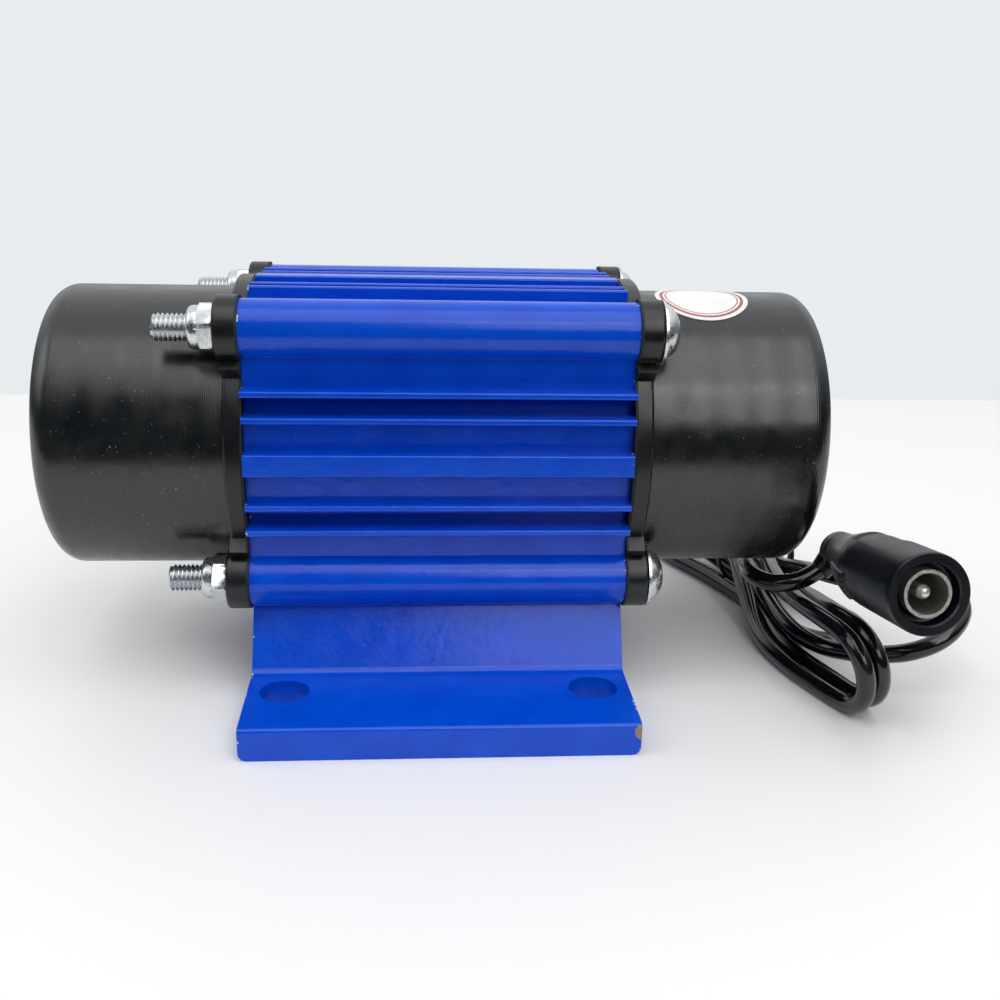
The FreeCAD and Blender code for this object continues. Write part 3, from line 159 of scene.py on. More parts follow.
def remap(tree: Tree, value: Socket, source: Span, target: Span) -> Socket:
    """Spread one span of a value over another and hold it to that."""
    limits = dict(zip(("From Min", "From Max", "To Min", "To Max"), (*source, *target)))
    return add_node(tree, "MapRange", {"Value": value} | limits).outputs["Result"]


def lay_over(tree: Tree, share: Socket, under: Socket, over: str) -> Socket:
    """Lay a hex colour over another colour where the share is 1."""
    sockets = {MIX_SHARE: share, MIX_UNDER: under, MIX_OVER: linear(over)}
    return add_node(tree, "Mix", sockets, data_type="RGBA").outputs[MIX_COLOUR]


@dataclass(frozen=True)
class Finish:
    """A moulded or cast surface with fine grain; the base of the other finishes."""

    name: str
    colour: str
    second: str
    roughness: float
    grain: float = 0.3
    relief: float = 0.006
    metallic: float = 0.0
    ior: float = 1.5
    coat: float = 0.0

    def make(self) -> bpy.types.Material:
        """Build the node material.

        Returns:
            The material.
        """
        material = bpy.data.materials.new(self.name)
        material.use_nodes = True
        tree = material.node_tree
        shader = tree.nodes["Principled BSDF"]
        shader.inputs["Metallic"].default_value = self.metallic
        shader.inputs["IOR"].default_value = self.ior
        shader.inputs["Coat Weight"].default_value = self.coat
        shader.inputs["Coat Roughness"].default_value = 0.07
        place = add_node(tree, "TexCoord").outputs["Object"]
        tree.links.new(self.shade(tree, place), shader.inputs["Base Color"])
        tree.links.new(self.dullness(tree, place), shader.inputs["Roughness"])
        relief = {"Height": self.height(tree, place), "Distance": self.relief * MM}
        bump = add_node(tree, "Bump", relief | {"Strength": 1.0})
        tree.links.new(bump.outputs["Normal"], shader.inputs["Normal"])
        return material

    def shade(self, tree: Tree, place: Socket) -> Socket:
        """Cloud the surface between its two colours, in patches about 7 mm wide.

        Args:
            tree: node tree of the material.
            place: object coordinates.

        Returns:
            The colour.
        """
        cloud = noise(tree, place, 7.0, 5.0)
        stops = {0.35: self.colour, 0.7: self.second}
        return add_node(tree, "ValToRGB", {"Fac": cloud}, stops=stops).outputs["Color"]

    def dullness(self, tree: Tree, place: Socket) -> Socket:
        """Vary the roughness in smears about 4 mm wide, as handling does."""
        smear = noise(tree, place, 4.0, 6.0)
        return remap(tree, smear, (0.3, 0.7), (self.roughness - 0.05, self.roughness + 0.07))

    def height(self, tree: Tree, place: Socket) -> Socket:
        """Give the fine grain's height, from 0 to about 1."""
        return noise(tree, place, self.grain, 3.0)


@dataclass(frozen=True)
class SprayedEnamel(Finish):
    """Gloss enamel on extruded aluminium: orange peel, chipped sawn ends, one knocked corner."""

    bare: str = "CDD3DC"
    chip: float = 1.1
    chip_above: float = 0.66
    sawn_at: float = 34.7
    knock: str = "8B806C"
    knock_reach: Span = (0.4, 2.2)
    corner: Point = (34.9, -50.9, 4.6)

    def shade(self, tree: Tree, place: Socket) -> Socket:
        """Blue with faint clouds, bare metal in spots at the sawn ends and at the knocked corner.

        Args:
            tree: node tree of the material.
            place: object coordinates.

        Returns:
            The colour.
        """
        paint = Finish.shade(self, tree, place)
        along = add_node(tree, "SeparateXYZ", {"Vector": place}).outputs["X"]
        out = work_out(tree, "ABSOLUTE", along)
        end = work_out(tree, "GREATER_THAN", out, self.sawn_at * MM)
        sparse = work_out(tree, "GREATER_THAN", noise(tree, place, self.chip, 2.0), self.chip_above)
        chips = work_out(tree, "MULTIPLY", end, sparse)
        chipped = lay_over(tree, chips, paint, self.bare)
        corner = tuple(side * MM for side in self.corner)
        away = add_node(tree, "VectorMath", {0: place, 1: corner}, operation="DISTANCE")
        near, far = self.knock_reach
        ragged = remap(tree, noise(tree, place, 0.8, 4.0), (0.0, 1.0), (near * MM, far * MM))
        knocked = work_out(tree, "GREATER_THAN", ragged, away.outputs["Value"])
        return lay_over(tree, knocked, chipped, self.knock)

    def height(self, tree: Tree, place: Socket) -> Socket:
        """Orange peel: soft waves with a few grains of dust in them."""
        dust = remap(tree, noise(tree, place, 0.45, 2.0), (0.66, 0.74), (0.0, 0.5))
        return work_out(tree, "ADD", noise(tree, place, self.grain, 1.0), dust)


@dataclass(frozen=True)
class Turned(Finish):
    """A lathe-turned surface: rings round the motor axis, too close together to count."""

    pitch: float = 0.35
    beat: float = 0.37
    dust: float = 0.0
    dust_colour: str = "9AA0A6"

    def rings(self, tree: Tree, place: Socket, pitch: float) -> Socket:
        """Rings at one pitch, along the axis on a barrel and outwards on an end.

        Args:
            tree: node tree.
            place: object coordinates.
            pitch: ring spacing in millimetres.

        Returns:
            The wave, from -1 to 1.
        """
        centred = add_node(tree, "Mapping", {"Vector": place, "Location": (0.0, 0.0, -AXIS_HEIGHT)})
        parts = add_node(tree, "SeparateXYZ", {"Vector": centred.outputs[0]}).outputs
        flat = add_node(tree, "CombineXYZ", {"Y": parts["Y"], "Z": parts["Z"]}).outputs[0]
        out = add_node(tree, "VectorMath", {0: flat}, operation="LENGTH").outputs["Value"]
        travel = work_out(tree, "ADD", parts["X"], out)
        return work_out(tree, "SINE", work_out(tree, "MULTIPLY", travel, math.tau * per(pitch)))

    def height(self, tree: Tree, place: Socket) -> Socket:
        """Two sets of rings whose pitches nearly agree, so that broad bands come and go."""
        fine, broad = (self.rings(tree, place, pitch) for pitch in (self.pitch, self.beat))
        return work_out(tree, "ADD", fine, broad)

    def shade(self, tree: Tree, place: Socket) -> Socket:
        """The clouded colour, with grains of pale dust where the finish has them.

        Args:
            tree: node tree of the material.
            place: object coordinates.

        Returns:
            The colour.
        """
        colour = Finish.shade(self, tree, place)
        if not self.dust:
            return colour
        lying = remap(tree, noise(tree, place, 0.5, 2.0), (0.7, 0.76), (0.0, self.dust))
        return lay_over(tree, lying, colour, self.dust_colour)


@dataclass(frozen=True)
class Stacked(Finish):
    """Thin sheets pressed together: dark joints across the motor axis."""

    sheet: float = 0.5

    def shade(self, tree: Tree, place: Socket) -> Socket:
        """Bright edges of the sheets with dark varnish between them.

        Args:
            tree: node tree of the material.
            place: object coordinates.

        Returns:
            The colour.
        """
        along = add_node(tree, "SeparateXYZ", {"Vector": place}).outputs["X"]
        part = work_out(
            tree, "FLOORED_MODULO", work_out(tree, "MULTIPLY", along, per(self.sheet)), 1.0
        )
        stops = {0.1: self.second, 0.25: self.colour, 0.85: self.colour}
        return add_node(tree, "ValToRGB", {"Fac": part}, stops=stops).outputs["Color"]


@dataclass(frozen=True)
class Wound(Finish):
    """Enamelled wire in layers: rows of fine rounded strands."""

    strand: float = 0.45

    def height(self, tree: Tree, place: Socket) -> Socket:
        """Strands laid at a slant that wanders a little.

        Args:
            tree: node tree of the material.
            place: object coordinates.

        Returns:
            The height.
        """
        turn = (0.0, math.radians(35), math.radians(20))
        laid = add_node(tree, "Mapping", {"Vector": place, "Rotation": turn}).outputs[0]
        waves_per_unit = 0.314
        sockets = {"Vector": laid, "Scale": waves_per_unit * per(self.strand)}
        sockets |= {"Distortion": 1.5, "Detail": 1.0}
        return add_node(tree, "TexWave", sockets).outputs["Fac"]


@dataclass(frozen=True)
class Plated(Finish):
    """Bright plating over rolled or pressed steel: dull spots and a tint that wanders."""

    def dullness(self, tree: Tree, place: Socket) -> Socket:
        """Tumbling marks: bright and dull spots about half a millimetre wide."""
        marks = add_node(tree, "TexVoronoi", {"Vector": place, "Scale": per(0.5)}).outputs
        limits = (self.roughness - 0.06, self.roughness + 0.16)
        return remap(tree, marks["Distance"], (0.0, 0.8), limits)


@dataclass(frozen=True)
class DrawnVinyl(Finish):
    """Soft vinyl pushed through a die: glossy, slightly wavy along the cord, with finger marks."""

    def dullness(self, tree: Tree, place: Socket) -> Socket:
        """Mostly wet-looking, with duller finger marks about 6 mm wide."""
        marks = noise(tree, place, 6.0, 6.0)
        return remap(tree, marks, (0.45, 0.75), (self.roughness, self.roughness + 0.22))


@dataclass(frozen=True)
class PrintedPaper(Finish):
    """A round paper label: off-white with a broad and a thin red line near its edge."""

    ring: str = "A85A60"
    centre: Point = (0.0, 0.0, 0.0)
    lines: tuple[Span, ...] = ((7.5, 8.1), (6.85, 7.1))

    def shade(self, tree: Tree, place: Socket) -> Socket:
        """Paper colour with the printed lines.

        Args:
            tree: node tree of the material.
            place: object coordinates.

        Returns:
            The colour.
        """
        paper = Finish.shade(self, tree, place)
        away = add_node(tree, "VectorMath", {0: place, 1: self.centre}, operation="DISTANCE")
        for start, end in self.lines:
            beyond = work_out(tree, "GREATER_THAN", away.outputs["Value"], start * MM)
            within = work_out(tree, "LESS_THAN", away.outputs["Value"], end * MM)
            paper = lay_over(tree, work_out(tree, "MULTIPLY", beyond, within), paper, self.ring)
        return paper


# Each slot of the record, with the real material and what its making gives the eye
FINISHES: dict[str, Finish] = {
    # enamel sprayed on an aluminium extrusion: deep blue gloss with orange peel
    "blue_paint": SprayedEnamel(
        "sprayed blue enamel", "0047C8", "024FD2", 0.17, 1.3, 0.03, ior=1.4
    ),
    # glass-filled nylon, moulded: dull black with a fine spark-eroded grain
    "black_shield": Finish("moulded black nylon", "080A0E", "0C0E12", 0.3, 0.35, 0.008),
    # nylon bar, turned: satin black with rings that shimmer in bands
    "black_cover": Turned(
        "turned black nylon", "0A0D0F", "101416", 0.24, relief=0.004, ior=1.65, dust=0.5
    ),
    # nitrile sheet, cut: flat black
    "gasket_rubber": Finish("cut nitrile sheet", "0B0B0C", "121213", 0.6, 0.4, 0.01),
    # zinc on steel: bright bluish silver with tumbling marks
    "zinc_steel": Plated("bright zinc plate", "CDD1D6", "DADBD9", 0.2, 0.6, 0.004, metallic=1.0),
    # natural nylon: milky white
    "white_nylon": Finish("natural nylon", "E3E1D8", "ECEAE2", 0.4, 0.3, 0.004),
    # ground rings and balls: mirror-like with fine grinding lines
    "bearing_steel": Turned(
        "ground bearing steel", "B4B7BA", "BFC1C3", 0.16, relief=0.001, metallic=1.0
    ),
    # ground bar: bright with close rings
    "shaft_steel": Turned(
        "ground steel bar", "A3A6A9", "B0B2B4", 0.22, relief=0.0015, metallic=1.0
    ),
    # sawn and turned bar stock, oiled: grey with coarse rings
    "weight_steel": Turned(
        "turned mild steel", "77797B", "848688", 0.36, relief=0.003, pitch=0.6, metallic=1.0
    ),
    # oil-blacked screws and rings: soft black with a metal sheen
    "black_steel": Plated("black oxide steel", "1C1D1F", "252628", 0.36, 0.5, 0.002, metallic=0.7),
    # punched sheets with varnish between them
    "core_steel": Stacked(
        "electrical steel sheets", "77787B", "2B2622", 0.4, 0.3, 0.004, metallic=0.9
    ),
    # enamelled copper in varnished layers
    "copper_wire": Wound(
        "varnished copper wire", "9A4A20", "B25C2A", 0.28, relief=0.06, metallic=0.8
    ),
    # turned commutator bars: bright copper with fine rings
    "copper_bar": Turned("turned copper", "C07E5B", "CC8C69", 0.22, relief=0.002, metallic=1.0),
    # phenolic, hot pressed: brown with a faint shine
    "phenolic": Finish("pressed phenolic", "43250F", "553117", 0.4, 0.5, 0.006),
    # drawn tube, skimmed: grey steel with a dull skin and faint rings
    "yoke_steel": Turned("drawn steel tube", "84878A", "929496", 0.34, relief=0.002, metallic=1.0),
    # pressed and fired powder: dark grey, slightly sandy
    "ferrite": Finish("fired ferrite", "28282B", "333336", 0.55, 0.2, 0.02),
    # folded strip: warm and bright
    "brass": Plated("folded brass strip", "C29C4E", "CFA95C", 0.26, 0.5, 0.003, metallic=1.0),
    # pressed carbon: sooty with a dull shine
    "carbon": Finish("pressed carbon", "1C1C1E", "28282B", 0.45, 0.15, 0.01),
    # drawn wire: bright
    "spring_steel": Plated("drawn spring wire", "9DA0A3", "A9ABAD", 0.22, 0.3, 0.002, metallic=1.0),
    # vinyl skins of the two inner wires
    "lead_red": DrawnVinyl("red wire vinyl", "9A1414", "A81C1A", 0.25, 0.6, 0.004),
    "lead_black": DrawnVinyl("black wire vinyl", "0E0E10", "151517", 0.25, 0.6, 0.004),
    # soft cord vinyl: wet black gloss
    "cord_pvc": DrawnVinyl("soft cord vinyl", "07080A", "0B0D10", 0.1, 1.6, 0.01, coat=0.3),
    # moulded connector vinyl: satin, with a fine grain
    "jack_rubber": Finish("moulded connector vinyl", "050910", "090E16", 0.3, 0.25, 0.012),
    # nickel on brass: warm silver
    "jack_nickel": Plated("nickel plate", "D8D5CE", "E0DED8", 0.32, 0.5, 0.0005, metallic=1.0),
    # moulded insulator deep in the opening
    "jack_plastic": Finish("moulded insulator", "090909", "0E0E0E", 0.45, 0.3, 0.004),
}


def dress_parts() -> None:
    """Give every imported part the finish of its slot."""
    made = {slot: finish.make() for slot, finish in FINISHES.items()}
    for part in frame["record"]["subparts"]:
        node = frame["nodes"][part["node"]]
        node.data.materials.clear()
        node.data.materials.append(made[part["material_slot"]])
        LOG.info("%s dressed in %s", part["node"], part["material_slot"])


# ---------------------------------------------------------------- modelling by hand


def pick_up(*pieces: Piece) -> None:
    """Select only these objects.

    Args:
        pieces: the objects; the first becomes active.
    """
    bpy.ops.object.select_all(action="DESELECT")
    for piece in pieces:
        piece.select_set(True)
    bpy.context.view_layer.objects.active = pieces[0]


def put_in_scene(name: str, data: bpy.types.ID) -> Piece:
    """Make an object of this data, put it in the scene and return it."""
    thing = bpy.data.objects.new(name, data)
    bpy.context.scene.collection.objects.link(thing)
    return thing


def close_up(piece: Piece) -> None:
    """Merge what lies in one place and turn every face outwards.

    Args:
        piece: the object, in object mode.
    """
    pick_up(piece)
    bpy.ops.object.mode_set(mode="EDIT")
    bpy.ops.mesh.select_all(action="SELECT")
    bpy.ops.mesh.remove_doubles(threshold=0.001 * MM)
    bpy.ops.mesh.normals_make_consistent(inside=False)
    bpy.ops.object.mode_set(mode="OBJECT")


def turn_on_lathe(name: str, outline: Outline, segments: int = 48) -> Piece:
    """Draw out a disc ring by ring along local Z, which gives a closed turned solid.

    Args:
        name: name of the piece.
        outline: places along Z, each with its radius, in millimetres, from end to end.
        segments: faces round the piece.

    Returns:
        The new object, still standing on its own Z axis.
    """
    (place, radius), *rest = outline
    bpy.ops.mesh.primitive_circle_add(
        vertices=segments, radius=radius * MM, fill_type="NGON", location=(0, 0, place * MM)
    )
    piece = bpy.context.object
    piece.name = piece.data.name = name
    bpy.ops.object.transform_apply(location=True, rotation=True, scale=True)
    bpy.ops.object.mode_set(mode="EDIT")
    bpy.ops.mesh.select_mode(type="FACE")
    bpy.ops.mesh.select_all(action="SELECT")
    for there, size in rest:
        step = (0, 0, (there - place) * MM)
        bpy.ops.mesh.extrude_region_move(TRANSFORM_OT_translate={"value": step})
        growth = size / radius
        bpy.ops.transform.resize(value=(growth, growth, 1), center_override=(0, 0, there * MM))
        place, radius = there, size
    bpy.ops.object.mode_set(mode="OBJECT")
    close_up(piece)
    return piece


def draw_tube(
    name: str, places: Sequence[Vector], radii: Sequence[float], bevel: float, sides: int, steps: int
) -> Piece:
    """Draw one round tube along a smooth line.

    Args:
        name: name of the tube.
        places: control points of the line, in metres.
        radii: how much of the bevel the tube has at each point.
        bevel: radius of the tube in metres where that is 1.
        sides: roundness of the section.
        steps: how finely the line is divided.

    Returns:
        The curve object.
    """
    curve = bpy.data.curves.new(name, "CURVE")
    curve.dimensions = "3D"
    curve.bevel_depth = bevel
    curve.bevel_resolution = sides
    curve.resolution_u = steps
    curve.use_fill_caps = True
    line = curve.splines.new("NURBS")
    line.points.add(len(places) - 1)
    for knot, place, radius in zip(line.points, places, radii):
        knot.co = (*place, 1.0)
        knot.radius = radius
    line.order_u = 3
    line.use_endpoint_u = True
    return put_in_scene(name, curve)


def select_faces(piece: Piece, wanted: FaceTest) -> None:
    """Go to edit mode with only some faces selected.

    Args:
        piece: the object, active and in object mode.
        wanted: test of a face's middle, in metres, and normal, both in the piece's own axes.
    """
    mesh = piece.data
    bpy.ops.object.mode_set(mode="EDIT")
    bpy.ops.mesh.select_mode(type="FACE")
    bpy.ops.mesh.select_all(action="DESELECT")
    bpy.ops.object.mode_set(mode="OBJECT")
    for face in mesh.polygons:
        face.select = wanted(face.center, face.normal)
    bpy.ops.object.mode_set(mode="EDIT")


def apply_modifier(piece: Piece, kind: str, **settings) -> None:
    """Add a modifier, set it and apply it.

    Args:
        piece: the object.
        kind: Blender's name for the modifier type.
        settings: the modifier's properties.
    """
    pick_up(piece)
    modifier = piece.modifiers.new(kind.lower(), kind)
    for name, value in settings.items():
        setattr(modifier, name, value)
    bpy.ops.object.modifier_apply(modifier=modifier.name)


def combine(piece: Piece, tool: Piece, how: Solid) -> None:
    """Cut a piece with another, or make one solid of them, and remove the other.

    Args:
        piece: the object that stays.
        tool: the object that is used up.
        how: what the other does to the piece.
    """
    apply_modifier(piece, "BOOLEAN", object=tool, operation=how.value, solver="EXACT")
    bpy.data.objects.remove(tool)


def ease_edges(piece: Piece, width: float, sharp: float = 35.0) -> None:
    """Round the sharp edges a little and shade the rest smooth.

    Args:
        piece: the object.
        width: width of the rounding in millimetres.
        sharp: the smallest angle that counts as an edge, in degrees.
    """
    if width:
        rounding = {"width": width * MM, "segments": 2, "limit_method": "ANGLE"}
        apply_modifier(piece, "BEVEL", angle_limit=math.radians(sharp), **rounding)
    pick_up(piece)
    bpy.ops.object.shade_smooth_by_angle(angle=math.radians(sharp))


def set_down(piece: Piece, placing: Matrix) -> None:
    """Put a piece made in its own axes where it belongs, with its place in its mesh.

    Args:
        piece: the object.
        placing: where its own axes come.
    """
    pick_up(piece)
    piece.matrix_world = placing
    bpy.ops.object.transform_apply(location=True, rotation=True, scale=True)


def join(name: str, pieces: Sequence[Piece]) -> Piece:
    """Join pieces into one object.

    Args:
        name: name of the whole.
        pieces: the objects that are used up.

    Returns:
        The whole.
    """
    pick_up(*pieces)
    bpy.ops.object.join()
    joined = bpy.context.object
    joined.name = joined.data.name = name
    return joined


def hand_over(piece: Piece, slot: str, *nodes: str) -> None:
    """Dress a finished piece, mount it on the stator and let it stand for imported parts.

    Args:
        piece: the finished object.
        slot: material slot of the record.
        nodes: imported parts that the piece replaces.
    """
    if not piece.data.materials:
        piece.data.materials.append(FINISHES[slot].make())
    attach(piece, STATOR)
    if nodes:
        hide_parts(*nodes)
    LOG.info("%s made, %d faces", piece.name, len(getattr(piece.data, "polygons", ())))


def stand_on(origin: Vector, ahead: Vector, upward: Vector = Vector((0, 0, 1))) -> Matrix:
    """Give a placing for a piece made on its own axes.

    Args:
        origin: where the piece's origin comes.
        ahead: where its Z axis points.
        upward: where its Y axis leans.

    Returns:
        The placing.
    """
    along = ahead.normalized()
    top = (upward - along * upward.dot(along)).normalized()
    side = top.cross(along)
    turn = Matrix((side, top, along)).transposed()
    return Matrix.Translation(origin) @ turn.to_4x4()


# ---------------------------------------------------------------- fasteners


@dataclass
class Fasteners:
    """Four long cross-recessed screws with their nylon-insert lock nuts."""

    offset: float = 23.5
    under_head: float = 39.8
    tip: float = -50.2
    thread_stop: float = -38.6
    pitch: float = 0.8
    crest: float = 2.46
    root: float = 2.02
    crest_flat: Span = (0.42, 0.58)
    run_in: float = 2.3
    steps_per_turn: int = 28
    lead_in: float = 0.5
    tip_taper: float = 0.2
    recess_depth: float = 2.6
    recess_width: float = 5.0
    recess_blade: float = 0.95
    recess_taper: float = 0.4
    head_rim: Outline = ((0.0, 4.6), (0.25, 4.85), (0.9, 4.7), (1.6, 4.25))
    head_dome: Outline = ((2.2, 3.5), (2.7, 2.4), (3.0, 1.2), (3.08, 0.3))
    nut_face: float = -39.3
    nut_flats: float = 8.0
    nut_hex: float = 2.8
    nut_length: float = 4.7

    def places(self) -> list[Vector]:
        """Find the four bolt centres round the motor axis.

        Returns:
            The centres, in metres.
        """
        middle = AXIS_HEIGHT / MM
        return [
            Vector((0, across, middle + up)) * MM
            for across in (-self.offset, self.offset)
            for up in (self.offset, -self.offset)
        ]

    def thread(self) -> Piece:
        """Wind one ridge into a helix, trim both ends flat and close them.

        Returns:
            The threaded end, on its own Z axis.
        """
        bpy.ops.mesh.primitive_circle_add(vertices=4, radius=MM, fill_type="NOTHING")
        ridge = bpy.context.object
        bpy.ops.object.mode_set(mode="EDIT")
        bpy.ops.mesh.select_mode(type="EDGE")
        bpy.ops.mesh.select_all(action="DESELECT")
        bpy.ops.object.mode_set(mode="OBJECT")
        for edge in ridge.data.edges:
            edge.select = set(edge.vertices) == {0, 3}
        bpy.ops.object.mode_set(mode="EDIT")
        bpy.ops.mesh.delete(type="EDGE_FACE")
        bpy.ops.object.mode_set(mode="OBJECT")
        rise, fall = self.crest_flat
        shape = ((self.root, 0.0), (self.crest, rise), (self.crest, fall), (self.root, 1.0))
        base = self.tip - self.run_in * self.pitch
        for vertex, (radius, part) in zip(ridge.data.vertices, shape):
            vertex.co = Vector((radius, 0, base + part * self.pitch)) * MM
        turns = math.ceil((self.thread_stop - base) / self.pitch) + 2
        apply_modifier(
            ridge,
            "SCREW",
            angle=2 * math.pi,
            screw_offset=self.pitch * MM,
            iterations=turns,
            steps=self.steps_per_turn,
            render_steps=self.steps_per_turn,
            use_merge_vertices=True,
            merge_threshold=0.001 * MM,
        )
        pick_up(ridge)
        bpy.ops.object.mode_set(mode="EDIT")
        for level, below in ((self.tip, True), (self.thread_stop, False)):
            bpy.ops.mesh.select_all(action="SELECT")
            bpy.ops.mesh.bisect(
                plane_co=(0, 0, level * MM),
                plane_no=(0, 0, 1),
                use_fill=True,
                clear_inner=below,
                clear_outer=not below,
            )
        bpy.ops.object.mode_set(mode="OBJECT")
        close_up(ridge)
        for vertex in ridge.data.vertices:
            above = vertex.co.z / MM - self.tip
            if above < self.lead_in:
                shrink = 1 - self.tip_taper * (1 - above / self.lead_in)
                vertex.co.x *= shrink
                vertex.co.y *= shrink
        return ridge

    def recess(self) -> Piece:
        """Make the cross-shaped punch for the head: two tapered blades.

        Returns:
            The punch, on the screw's axis.
        """
        blades = []
        top = self.under_head + self.head_dome[-1][0] + 0.4
        bottom = top - self.recess_depth
        for turn in (0, 90):
            bpy.ops.mesh.primitive_cube_add(
                size=MM,
                location=(0, 0, (top + bottom) / 2 * MM),
                rotation=(0, 0, math.radians(turn)),
                scale=(self.recess_width, self.recess_blade, self.recess_depth),
            )
            blade = bpy.context.object
            bpy.ops.object.transform_apply(location=True, rotation=True, scale=True)
            select_faces(blade, lambda middle, normal: normal.z < -0.9)
            taper = (self.recess_taper, self.recess_taper, 1)
            bpy.ops.transform.resize(value=taper, center_override=(0, 0, bottom * MM))
            bpy.ops.object.mode_set(mode="OBJECT")
            blades.append(blade)
        combine(blades[0], blades[1], Solid.ADD)
        return blades[0]

    def screw(self) -> Piece:
        """Make one screw: thread, shank and domed head with its cross recess.

        Returns:
            The screw, on its own Z axis.
        """
        shank = [(self.thread_stop - 0.6, self.root), (self.under_head, self.root)]
        outline = (*self.head_rim, *self.head_dome)
        head = [(self.under_head + up, radius) for up, radius in outline]
        blank = turn_on_lathe("blank", shank + head, 56)
        combine(blank, self.recess(), Solid.CUT)
        screw = join("screw", [blank, self.thread()])
        ease_edges(screw, 0.0, 28.0)
        return screw

    def nut(self) -> Piece:
        """Make one lock nut: hexagon with turned corners and a rolled collar.

        Returns:
            The nut, on its own Z axis.
        """
        face, flats = self.nut_face, self.nut_flats
        hex_end, end = face - self.nut_hex, face - self.nut_length
        corner_radius = flats / math.sqrt(3)
        bpy.ops.mesh.primitive_cylinder_add(
            vertices=6,
            radius=corner_radius * MM,
            depth=self.nut_hex * MM,
            location=(0, 0, (face + hex_end) / 2 * MM),
            rotation=(0, 0, math.radians(12)),
        )
        nut = bpy.context.object
        bpy.ops.object.transform_apply(location=True, rotation=True, scale=True)
        low, wide = flats / 2 + 0.02, corner_radius + 0.1
        corners = [(face + 0.1, low - 0.1), (face, low), (face - 0.4, wide), (hex_end + 0.55, wide)]
        corners += [(hex_end, low - 0.15), (hex_end - 0.1, low - 0.3)]
        blank = turn_on_lathe("blank", corners, 64)
        combine(nut, blank, Solid.KEEP_COMMON)
        roll = [(hex_end + 0.4, 3.9), (end + 0.9, 3.88), (end + 0.45, 3.72), (end + 0.12, 3.4)]
        roll += [(end, 3.0)]
        combine(nut, turn_on_lathe("collar", roll, 64), Solid.ADD)
        bore = [(face + 1, 2.5), (hex_end - 0.02, 2.5), (hex_end - 0.02, 3.1), (end + 0.35, 3.1)]
        lip = [(end + 0.2, 2.75), (end - 1, 2.75)]
        combine(nut, turn_on_lathe("bore", bore + lip, 48), Solid.CUT)
        ease_edges(nut, 0.08, 30.0)
        return nut

    def copies(self, master: Piece, turns: Sequence[float]) -> list[Piece]:
        """Set the master and three copies down at the bolt centres.

        Args:
            master: piece on its own Z axis.
            turns: how far each copy is turned on its own axis, in degrees.

        Returns:
            The four pieces, each with its own mesh.
        """
        pieces = [master] + [put_in_scene(master.name, master.data.copy()) for _ in turns[1:]]
        for piece, place, turn in zip(pieces, self.places(), turns):
            lying = stand_on(place, Vector((1, 0, 0)))
            set_down(piece, lying @ Matrix.Rotation(math.radians(turn), 4, "Z"))
        return pieces

    def build(self) -> None:
        """Make all screws and nuts."""
        screws = join("tie_screws_threaded", self.copies(self.screw(), (20, 65, 40, 5)))
        hand_over(screws, "zinc_steel", "tie_screws")
        nuts = join("lock_nuts_formed", self.copies(self.nut(), (0, 24, 8, 31)))
        hand_over(nuts, "zinc_steel", "lock_nuts")


# ---------------------------------------------------------------- cable gland, label, tie


@dataclass
class CableGland:
    """Rubber grommet in the right cover, with a ribbed sleeve that keeps the cord from kinking."""

    place: Point = (46.0, 0.0, 46.5)
    angle: float = 115.0
    ribs: int = 5
    sleeve: float = 12.0
    sleeve_radius: float = 3.0
    sleeve_taper: float = 0.8
    groove: float = 0.35
    inner_lip: Outline = ((22.8, 2.6), (22.8, 4.3), (24.3, 4.4))
    waist: Outline = ((24.5, 3.36), (27.4, 3.36))
    outer_lip: Outline = ((27.42, 4.3), (27.7, 4.5), (28.7, 4.5), (29.0, 4.2), (29.0, 3.1))

    def build(self) -> None:
        """Turn the gland on the lathe and stand it in the cover's side."""
        outline = [*self.inner_lip, *self.waist, *self.outer_lip]
        root = outline[-1][0]
        step = self.sleeve / self.ribs
        for rib in range(self.ribs):
            start = root + rib * step
            radius = self.sleeve_radius - self.sleeve_taper * rib / self.ribs
            low = radius - self.groove
            outline += [(start + 0.3, low), (start + 0.9, low)]
            outline += [(start + 1.1, radius), (start + step - 0.1, radius - 0.12)]
        outline += [(root + self.sleeve, 1.95)]
        gland = turn_on_lathe("cable_gland_ribbed", outline, 40)
        turn = math.radians(self.angle)
        ahead = Vector((0, math.sin(turn), math.cos(turn)))
        set_down(gland, stand_on(Vector(self.place) * MM, ahead, Vector((1, 0, 0))))
        ease_edges(gland, 0.12)
        hand_over(gland, "cord_pvc", "cable_gland")


